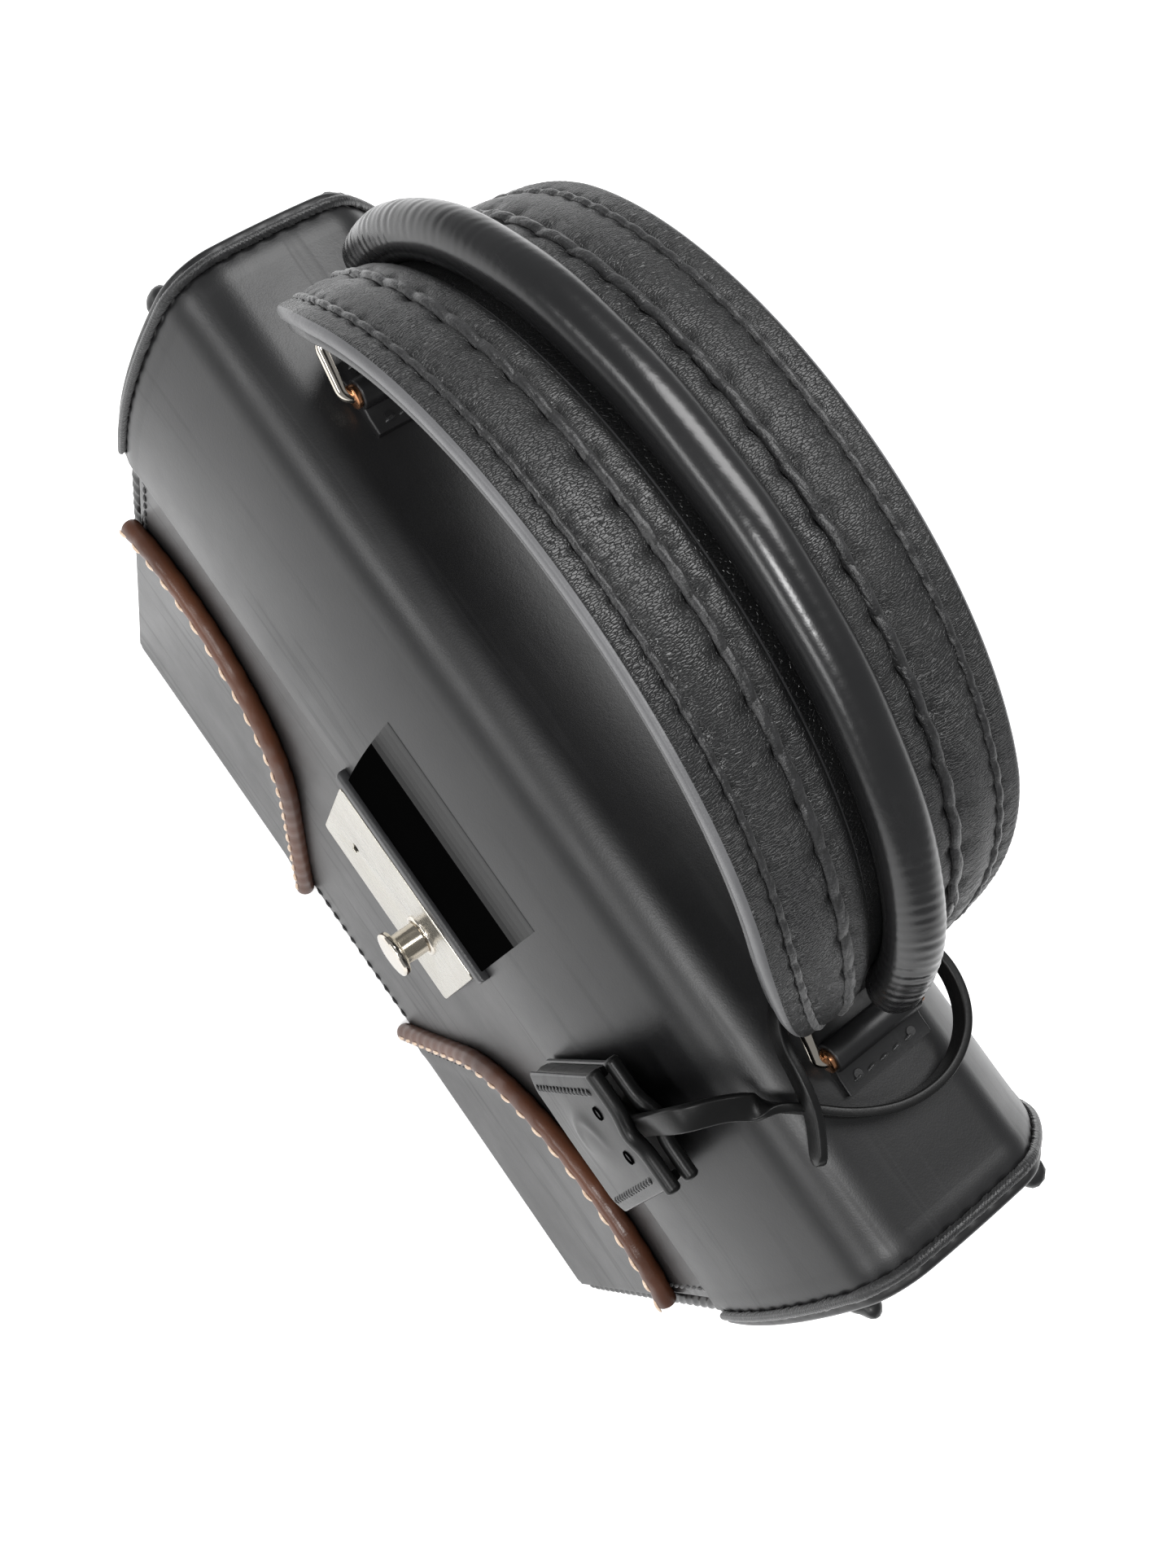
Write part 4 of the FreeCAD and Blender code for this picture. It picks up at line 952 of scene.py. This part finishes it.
def build_lock():
    low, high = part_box("lock_plate")
    button_low, button_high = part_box("push_button")
    bx = (button_low.x + button_high.x) / 2
    bz = (button_low.z + button_high.z) / 2
    neck = 3.9 * MM
    thick = high.y - low.y
    outlines = [rounded_rectangle((low.x, high.x), (low.z, high.z), 1.6 * MM),
                ring_outline(bx, bz, neck + 0.8 * MM), keyhole(*KEYHOLE, 1.2 * MM)]

    def stand(co):
        return np.stack([co[:, 0], (low.y + high.y) / 2 - co[:, 2], co[:, 1]], 1)

    plate("lock_face", outlines, thick, 0.28 * MM, stand, NICKEL, "case",
          ["lock_plate"])
    collar = in_mm((0.25, 0), (0.3, 0.9), (0.6, 1.3), (1.1, 1.3), (1.4, 1.0), (1.4, 0.1), (0.8, 0))
    lathe("button_collar", [(neck + out, up) for out, up in collar],
          (bx, high.y - 0.6 * MM, bz), (0, -1, 0), BRIGHT, "case",
          ["button_bush"])
    r = (button_high.x - button_low.x) / 2
    stem, head = 1.6 * MM, 1.9 * MM
    neck_foot = button_high.y - (low.y + 0.2 * MM)
    reach = button_high.y - button_low.y
    under = reach - head
    profile = [(0, 0), (stem, 0), (stem, neck_foot), (neck, neck_foot)]
    profile += [(neck + out, under + up) for out, up in in_mm((0, -0.6), (0.15, -0.2), (0.5, 0))]
    profile += [(r + out, under + up) for out, up in in_mm((-0.45, 0), (-0.15, 0.12), (0, 0.4))]
    crown = in_mm((0, -0.45), (-0.12, -0.16), (-0.42, -0.03), (-1.2, 0))
    profile += [(r + out, reach + up) for out, up in crown] + [(0, reach)]
    lathe("button_cap", profile, (bx, button_high.y, bz), (0, -1, 0), BRIGHT, "button",
          ["push_button"])
    paint(STEEL, "lock_case", "spring_cup", "button_spring", "bolt_spring", "case_screws",
          "button_washer", "latch_bolt", "key_lever", "strike")
    paint(BOX_CALF, "chape_rivets_left", "chape_rivets_right")


build_lock()

# ---------------------------------------------------------------- handle

band_low, band_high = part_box("handle_band")
ARCH_X = (band_low.x + band_high.x) / 2
ARCH_A = (band_high.x - band_low.x) / 2
ARCH_Z = band_low.z
ARCH_B = band_high.z - band_low.z
ARCH_W = band_high.y
END_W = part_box("handle_end_right")[1].y
BAND, UNDER = 2.6 * MM, 2.2 * MM
ROLL_R = 5.0 * MM
ROLL_RISE = 0.45 * ROLL_R
FLANGE_IN = 5.9 * MM                          # flange's inner edge from the middle, beside the roll
OUTER_ROW, INNER_ROW = 0.76, 0.30             # stitch rows, as shares of the flange's width
OUTER_PITCH, INNER_PITCH = 4.6 * MM, 8.7 * MM


def circle_through(a, b, c):
    (ax, ay), (bx, by), (cx, cy) = a, b, c
    d = 2 * (ax * (by - cy) + bx * (cy - ay) + cx * (ay - by))
    sa, sb, sc = ax ** 2 + ay ** 2, bx ** 2 + by ** 2, cx ** 2 + cy ** 2
    x = (sa * (by - cy) + sb * (cy - ay) + sc * (ay - by)) / d
    y = (sa * (cx - bx) + sb * (ax - cx) + sc * (bx - ax)) / d
    return x, y, math.hypot(ax - x, ay - y)


class Arch:
    """The handle's elliptical arch, read by arc length from the right end over to the left."""

    def __init__(self):
        angle = np.linspace(0, math.pi, 1200)
        self.points = np.stack([ARCH_X + ARCH_A * np.cos(angle),
                                ARCH_Z + ARCH_B * np.sin(angle)], 1)
        self.normals = unit(np.stack([np.cos(angle) / ARCH_A, np.sin(angle) / ARCH_B], 1))
        steps = np.linalg.norm(np.diff(self.points, axis=0), axis=1)
        self.run = np.concatenate([[0], np.cumsum(steps)])
        self.length = self.run[-1]
        waist = 0.75 * ARCH_B
        knee = ARCH_W - (ARCH_W - END_W) * 0.2
        x, y, r = circle_through((END_W, -1 * MM), (knee, 0.34 * ARCH_B), (ARCH_W, waist))
        up = self.points[:, 1] - ARCH_Z
        arc = x + np.sqrt(np.maximum(r ** 2 - (up - y) ** 2, 0))
        self.half = np.where(up > waist, ARCH_W, np.minimum(arc, ARCH_W))

    def width(self, s):
        return np.interp(s, self.run, self.half)

    def at(self, s, y, h):
        x, z = (np.interp(s, self.run, self.points[:, k]) for k in (0, 1))
        nx, nz = (np.interp(s, self.run, self.normals[:, k]) for k in (0, 1))
        return np.stack([x + nx * h, y + 0 * x, z + nz * h], -1)

    def normal(self, s):
        nx, nz = (np.interp(s, self.run, self.normals[:, k]) for k in (0, 1))
        return unit(np.stack([nx, 0 * nx, nz], -1))


ARCH = Arch()


def crinkle(s, y, size):
    """Uneven ridges across the run, from a few sines whose phases wander with y."""
    wander = 0.8 * np.sin(y * 700 + 1.0) + 0.6 * np.sin(y * 1300 + s * 90)
    return size * (np.sin(s * 4200 + wander * 2) + 0.6 * np.sin(s * 6900 - wander * 3 + 2)) / 1.6


def flange_relief(v, s):
    """Height of a handle flange: crowned, quilted by its two stitch rows, crinkled at the ends."""
    span = ARCH.width(s) - FLANGE_IN
    across = v * span
    inner, outer = INNER_ROW * span, OUTER_ROW * span
    thin = np.clip(span / (18 * MM), 0.25, 1)
    groove = -0.50 * MM * bell_curve(across - inner, 1.3 * MM * thin)
    groove += -0.34 * MM * bell_curve(across - outer, 1.0 * MM * thin)
    pull = dips(s, INNER_PITCH, 0.85 * MM, 1.5 * MM) * bell_curve(across - inner, 2.3 * MM * thin)
    pull += dips(s, OUTER_PITCH, 0.50 * MM, 1.0 * MM) * bell_curve(across - outer, 1.4 * MM * thin)
    plump = 0.45 * MM * bell_curve(across - (inner + outer) / 2, 3.6 * MM * thin)
    curl = -1.1 * MM * bell_curve(across, 1.6 * MM * thin)
    ends = bell_curve(s - 0.012, 0.022) + bell_curve(ARCH.length - s - 0.012, 0.022)
    return (groove + pull + plump) * thin + curl + crinkle(s, across, 0.10 * MM) * ends


def build_flanges():
    for side, name in ((-1, "front"), (1, "rear")):
        def place(v, s, h, side=side):
            return ARCH.at(s, side * (FLANGE_IN + (ARCH.width(s) - FLANGE_IN) * v), h)

        pieces = (("handle_band",) if side < 0 else ())
        skin(f"handle_flange_{name}", place, (0, 1, 58), (0, ARCH.length, 420), BAND, HANDLE_CALF,
             "handle", pieces, 1.15 * MM, flange_relief, RIM_PAINT, None, (0.018, 1))
        s = np.linspace(3 * MM, ARCH.length - 3 * MM, 500)
        for row, pitch, share, width, fill, slant in (
                ("outer", OUTER_PITCH, OUTER_ROW, 1.05 * MM, 0.80, 0.20),
                ("inner", INNER_PITCH, INNER_ROW, 1.75 * MM, 0.90, 0.10)):
            v = np.full_like(s, share)
            line = place(v, s, flange_relief(v, s) * 0.45 - 0.05 * MM)
            stitches(f"handle_{row}_row_{name}", line, ARCH.normal(s), pitch, THREAD, "handle",
                     fill, width, 0.1 * MM, side * slant, 0.28)


def build_underband():
    def place(v, s, h):
        return ARCH.at(s, ARCH.width(s) * 0.975 * v, h - BAND - 0.02 * MM)

    def relief(v, s):
        return -0.05 * MM + 0 * s

    skin("handle_lining", place, (-1, 1, 40), (0, ARCH.length, 200), UNDER, HANDLE_CALF, "handle",
         ["handle_underband"], 0.9 * MM, relief, EDGE_PAINT, None, (0.022, 1))


def build_roll():
    """The padded roll on the middle of the arch, creased across where it bends most."""
    low, high = 1.0 * MM, ARCH.length - 1.0 * MM
    s = np.linspace(low, high, 620)
    line = ARCH.at(s, 0 * s, ROLL_RISE)
    line = np.stack([line[:, 0], 0 * s, line[:, 2]], 1)
    sides = 36
    angle = np.arange(sides) * 2 * math.pi / sides
    near = np.minimum(s - low, high - s)
    taper = np.sqrt(np.clip(near / (7 * MM), 0.12, 1))
    bends = bell_curve(near - 0.016, 0.020) * 0.9 + 0.10
    top = np.clip(np.sin(angle), 0, 1)[None]
    wander = 0.9 * np.sin(angle * 2.0 + 0.5)[None] + 0.5 * np.sin(s * 160)[:, None]
    fold = np.abs(np.sin(s[:, None] * 1150 + wander * 1.6)) ** 0.35 - 0.8
    fine = np.sin(s[:, None] * 3100 + wander * 2.4)
    crease = (0.17 * fold + 0.05 * fine) * MM * bends[:, None] * (0.35 + 0.65 * top)
    lumps = 0.10 * MM * np.sin(s * 260 + 1)[:, None] * top
    radius = (ROLL_R + crease + lumps) * taper[:, None]
    section = np.stack([np.cos(angle)[None] * radius, np.sin(angle)[None] * radius], -1)
    verts, faces = sweep(line, ARCH.normal(s), section)
    roll = put("handle_pad", verts, faces, ROLL_CALF, "handle",
               ["handle_roll", "handle_core"])


def side_plate(name, outlines, width, bevel, material, body, nodes):
    """A piece cut from outlines in X and Z, as wide along Y as `width`, about the middle."""
    def stand(co):
        return np.stack([co[:, 0], -co[:, 2], co[:, 1]], 1)

    return plate(name, outlines, width, bevel, stand, material, body, nodes)


RING_X, RING_HEIGHT, RING_LEAN = 75 * MM, 12 * MM, math.radians(60)
LOOP_WALL, BAR_HOLE = 3.06 * MM, 1.26 * MM    # leather loop round a bar: outer and inner radius


def build_ends():
    """The band's leather folded round each ring's upper bar."""
    for side, hand in SIDES:
        low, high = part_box(f"handle_end_{hand}")
        bar_x = side * RING_X - RING_HEIGHT * math.sin(RING_LEAN)
        bar_z = low.z + LOOP_WALL
        top_z = high.z
        out_x = high.x if side > 0 else low.x
        in_x = bar_x - side * LOOP_WALL
        fall = [(out_x, top_z), (out_x - side * 0.2 * MM, bar_z + 1.6 * MM)]
        arc = [(bar_x + side * LOOP_WALL * math.cos(a), bar_z + LOOP_WALL * math.sin(a))
               for a in np.linspace(0.25, -math.pi, 22)]
        outline = fall + arc + [(in_x, top_z)]
        hole = ring_outline(bar_x, bar_z, BAR_HOLE, 24)
        side_plate(f"handle_fold_{hand}", [outline, hole], 2 * END_W, 0.7 * MM, HANDLE_CALF,
                   "handle", [f"handle_end_{hand}"])
        z = np.linspace(bar_z - 1.2 * MM, top_z + 1 * MM, 20)
        for y in (-1, 1):
            line = np.stack([np.full_like(z, out_x - side * 0.05 * MM),
                             np.full_like(z, y * (END_W - 2.4 * MM)), z], 1)
            stitches(f"fold_seam_{hand}_{'front' if y < 0 else 'rear'}", line,
                     (side, 0, 0), 3.0 * MM, THREAD, "handle", 0.75,
                     0.9 * MM)


def build_chapes():
    """The leather loop on the lid that holds each ring's lower bar."""
    for side, hand in SIDES:
        low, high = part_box(f"chape_{hand}")
        x, half = (low.x + high.x) / 2, (high.x - low.x) / 2
        bar_z = high.z - LOOP_WALL
        foot, rim = LID_TOP - 0.5 * MM, LID_TOP + 1.5 * MM
        arc = [(x + LOOP_WALL * math.cos(a), bar_z + LOOP_WALL * math.sin(a))
               for a in np.linspace(-0.45, math.pi + 0.45, 26)]
        rise = rim + 0.2 * MM
        outline = [(x - half, foot), (x + half, foot), (x + half, rim), (x + 4.4 * MM, rise)]
        outline += arc + [(x - 4.4 * MM, rise), (x - half, rim)]
        hole = ring_outline(x, bar_z, BAR_HOLE, 24)
        side_plate(f"chape_loop_{hand}", [outline, hole], high.y - low.y, 0.45 * MM, BOX_CALF,
                   "flap", [f"chape_{hand}"])
        for dx in (-1, 1):
            y = np.linspace(low.y + 2 * MM, high.y - 2 * MM, 20)
            line = np.stack([np.full_like(y, x + dx * 6.2 * MM), y,
                             np.full_like(y, rim + 0.1 * MM)], 1)
            stitches(f"chape_seam_{hand}_{'out' if dx * side > 0 else 'in'}", line,
                     (0, 0, 1), 3.2 * MM, THREAD, "flap", 0.72, 0.8 * MM)
    paint(BRIGHT, "ring_left", "ring_right")
    for side, hand in SIDES:
        low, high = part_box(f"chape_{hand}")
        x, bar_z = (low.x + high.x) / 2, high.z - LOOP_WALL
        for end in (-1, 1):
            y = end * (high.y + 0.02 * MM)
            profile = in_mm((1.3, 0), (2.3, 0), (2.4, 0.2), (2.4, 0.9), (2.1, 1.1), (1.3, 1.15))
            # the sleeves' brown tint is a painted reflection of brown leather
            lathe(f"bar_sleeve_{hand}_{'front' if end < 0 else 'rear'}", profile, (x, y, bar_z),
                  (0, end, 0), BROWN_TINT_METAL, "flap")


build_flanges()
build_underband()
build_roll()
build_ends()
build_chapes()

# ---------------------------------------------------------------- strap

STRAP_LOOP = [
    (88.5, -23.5, 186.6), (82.5, -20.0, 188.8), (75.0, -18.6, 190.6), (66.0, -17.2, 190.0),
    (59.6, -11.0, 188.2), (57.8, -1.5, 188.0), (59.4, 9.0, 188.0), (65.6, 17.2, 187.6),
    (75.4, 20.2, 187.4), (85.2, 16.6, 187.6), (90.6, 7.6, 187.4), (90.2, -3.2, 187.2),
    (85.6, -12.4, 186.4), (79.6, -18.8, 185.6), (75.0, -24.8, 186.2),
]
STRAP_TURN = (70.6, -31.0, 187.0)
STRAP_FALL = [(67.6, -38.6, 186.0), (66.3, -41.2, 180.2), (66.05, -41.0, 169.4),
              (66.0, -41.0, 158.0)]
STRAP_WIDTH, STRAP_THICK = 5.0 * MM, 1.8 * MM


def spline_points(route):
    """Points along the smooth NURBS curve through a route's control points, in metres."""
    curve = bpy.data.curves.new("route", "CURVE")
    curve.dimensions = "3D"
    curve.resolution_u = 16
    spline = curve.splines.new("NURBS")
    spline.points.add(len(route) - 1)
    for point, place in zip(spline.points, route):
        point.co = (*(c * MM for c in place), 1)
    spline.order_u = 3
    spline.use_endpoint_u = True
    holder = bpy.data.objects.new("route", curve)
    mesh = bpy.data.meshes.new_from_object(holder)
    bpy.data.objects.remove(holder)
    points = np.array([v.co for v in mesh.vertices], float)
    bpy.data.meshes.remove(mesh)
    return points


def build_strap():
    points = spline_points(STRAP_LOOP + [STRAP_TURN] + STRAP_FALL)
    line = resample(points, 0.6 * MM)
    run = np.arange(len(line)) * 0.6 * MM
    turn = run[np.argmin(np.linalg.norm(line - np.array(STRAP_TURN) * MM, axis=1))]
    flat = np.clip((run - turn + 12 * MM) / (13 * MM), 0, 1)
    flat = (flat * flat * (3 - 2 * flat))[:, None]
    tangent = unit(np.gradient(line, axis=0))
    upright = np.array([[0, 0.0, 1.0]])
    lying = unit(np.cross(tangent, unit(np.array([[0.25, -0.8, 1.0]]))))
    lying *= np.sign(lying[:, :1] + 1e-9)
    width = unit(upright * (1 - flat) + lying * flat)
    width = unit(width - tangent * np.sum(width * tangent, 1, keepdims=True))
    half_w, half_t = STRAP_WIDTH / 2, STRAP_THICK / 2
    corner = 0.45 * MM
    section = []
    for sx, sy, quarter in ((1, 1, 0), (-1, 1, 1), (-1, -1, 2), (1, -1, 3)):
        for k in range(4):
            a = math.pi / 2 * (quarter + k / 3)
            section.append((sx * (half_t - corner) + corner * math.cos(a),
                            sy * (half_w - corner) + corner * math.sin(a)))
    taper = np.sqrt(np.clip(1 - (1 - np.clip(run / (2.4 * MM), 0, 1)) ** 2, 0.05, 1))
    section = np.broadcast_to(np.array(section), (len(line), len(section), 2)).copy()
    section[:, :, 1] *= taper[:, None]
    verts, faces = sweep(line, width, section)
    strap = put("key_strap", verts, faces, STRAP_CALF, None,
                ["strap_loop", "strap_fall"])
    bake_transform(strap)
    return strap, points


# ---------------------------------------------------------------- key bell


def build_bell():
    low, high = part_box("bell_front")
    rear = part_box("bell_back")[1].y
    x = (low.x + high.x) / 2
    wide, top = (high.x - low.x) / 2, 12.5 * MM
    tall = high.z - low.z
    middle = (low.y + rear) / 2
    pieces = []

    def half(v):
        return wide + (top - wide) * v

    def bulge(u, v):
        across = u * half(v)
        up = v * tall
        sides = -0.9 * MM * np.clip(1 - (half(v) - np.abs(across)) / (4.5 * MM), 0, 1) ** 1.5
        keys = 1.15 * MM * np.exp(-((across + 0.5 * MM) / (7 * MM)) ** 2
                                  - ((up - 19 * MM) / (11 * MM)) ** 2)
        bow = 0.55 * MM * np.exp(-(np.hypot(across - 1 * MM, up - 20 * MM) / MM - 6.5) ** 2 / 3.0)
        bow *= np.clip(0.3 - across / (8 * MM), 0, 1)
        return sides + keys + bow - 0.35 * MM * bell_curve(up - tall, 3 * MM)

    def faint_bulge(u, v):
        return 0.25 * bulge(u, v)

    for name, side, y, relief in (("front", -1, low.y, bulge), ("back", 1, rear, faint_bulge)):
        def place(u, v, h, side=side, y=y):
            return np.stack([x + u * half(v), y + side * h, low.z + v * tall], -1)

        pieces.append(skin(f"bell_leather_{name}", place, (-1, 1, 60), (0, 1, 70), 1.6 * MM,
                           STRAP_CALF, "bell", [f"bell_{name}"], 0.6 * MM, relief,
                           EDGE_PAINT, None, (0.016, 0.040)))
    for hand, sx in (("left", -1), ("right", 1)):
        v = np.linspace(0.05, 0.93, 60)
        inset = 1.2 * MM
        seam = np.stack([x + sx * (half(v) - inset), np.full_like(v, middle), low.z + v * tall], 1)
        verts, faces = sweep(seam, (0, -1, 0), circle(1.15 * MM, 10) * np.array([1, 2.0]))
        pieces.append(put(f"bell_side_{hand}", verts, faces, STRAP_CALF, "bell"))
        u = np.sign(sx) * (1 - 3.2 * MM / half(v))
        line = np.stack([x + u * half(v), low.y - bulge(u, v), low.z + v * tall], 1)
        pieces.append(stitches(f"bell_seam_{hand}", line, (0, -1, 0), 2.3 * MM, THREAD,
                               "bell", 1.0, 0.85 * MM, 0.1 * MM, sx * 0.7))
    # painted shade: a matt near-black rim and disc fill each hole in the bell
    for hand, dx in (("left", -5.6), ("right", 4.4)):
        z = low.z + tall * 0.83
        ring = in_mm((1.45, -0.2), (1.55, 0.22), (1.35, 0.34), (1.15, 0.20), (1.0, -0.25),
                     (0, -0.3))
        v = np.array([0.83])
        u = np.array([dx * MM / half(v[0])])
        y = low.y - bulge(u, v)[0]
        pieces.append(lathe(f"bell_hole_shade_{hand}", ring, (x + dx * MM, y, z), (0, -1, 0),
                            PAINTED_SHADE_CALF, "bell", (), 20))
    hem_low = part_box("bell_hem")[0]
    across = np.linspace(-1, 1, 60)
    lift = bell_curve(across, 0.34) ** 2
    for name, side in (("front", -1), ("back", 1)):
        line = np.stack([x + across * (top + 0.8 * MM),
                         middle + side * (2.15 * MM + lift * 1.0 * MM),
                         hem_low.z + 1.35 * MM + lift * 1.1 * MM], 1)
        size = np.clip((1 - np.abs(across)) / 0.03, 0.55, 1) ** 0.5
        section = circle(1.55 * MM, 16, 1.05) * np.array([1.05, 1])
        verts, faces = sweep(line, (0, 0, 1), section, size)
        pieces.append(put(f"bell_roll_{name}", verts, faces, STRAP_CALF, "bell",
                          ["bell_hem"] if side < 0 else ()))
    return pieces


def build_keys():
    ivory = metal("pale_key_metal", (0.80, 0.76, 0.66), (0.62, 0.57, 0.47), 0.34, 0.15)
    paint(ivory, "key_a")
    paint(STEEL, "key_b")
    paint(BRIGHT, "key_ring")


strap, strap_path = build_strap()
bell_pieces = build_bell()
build_keys()
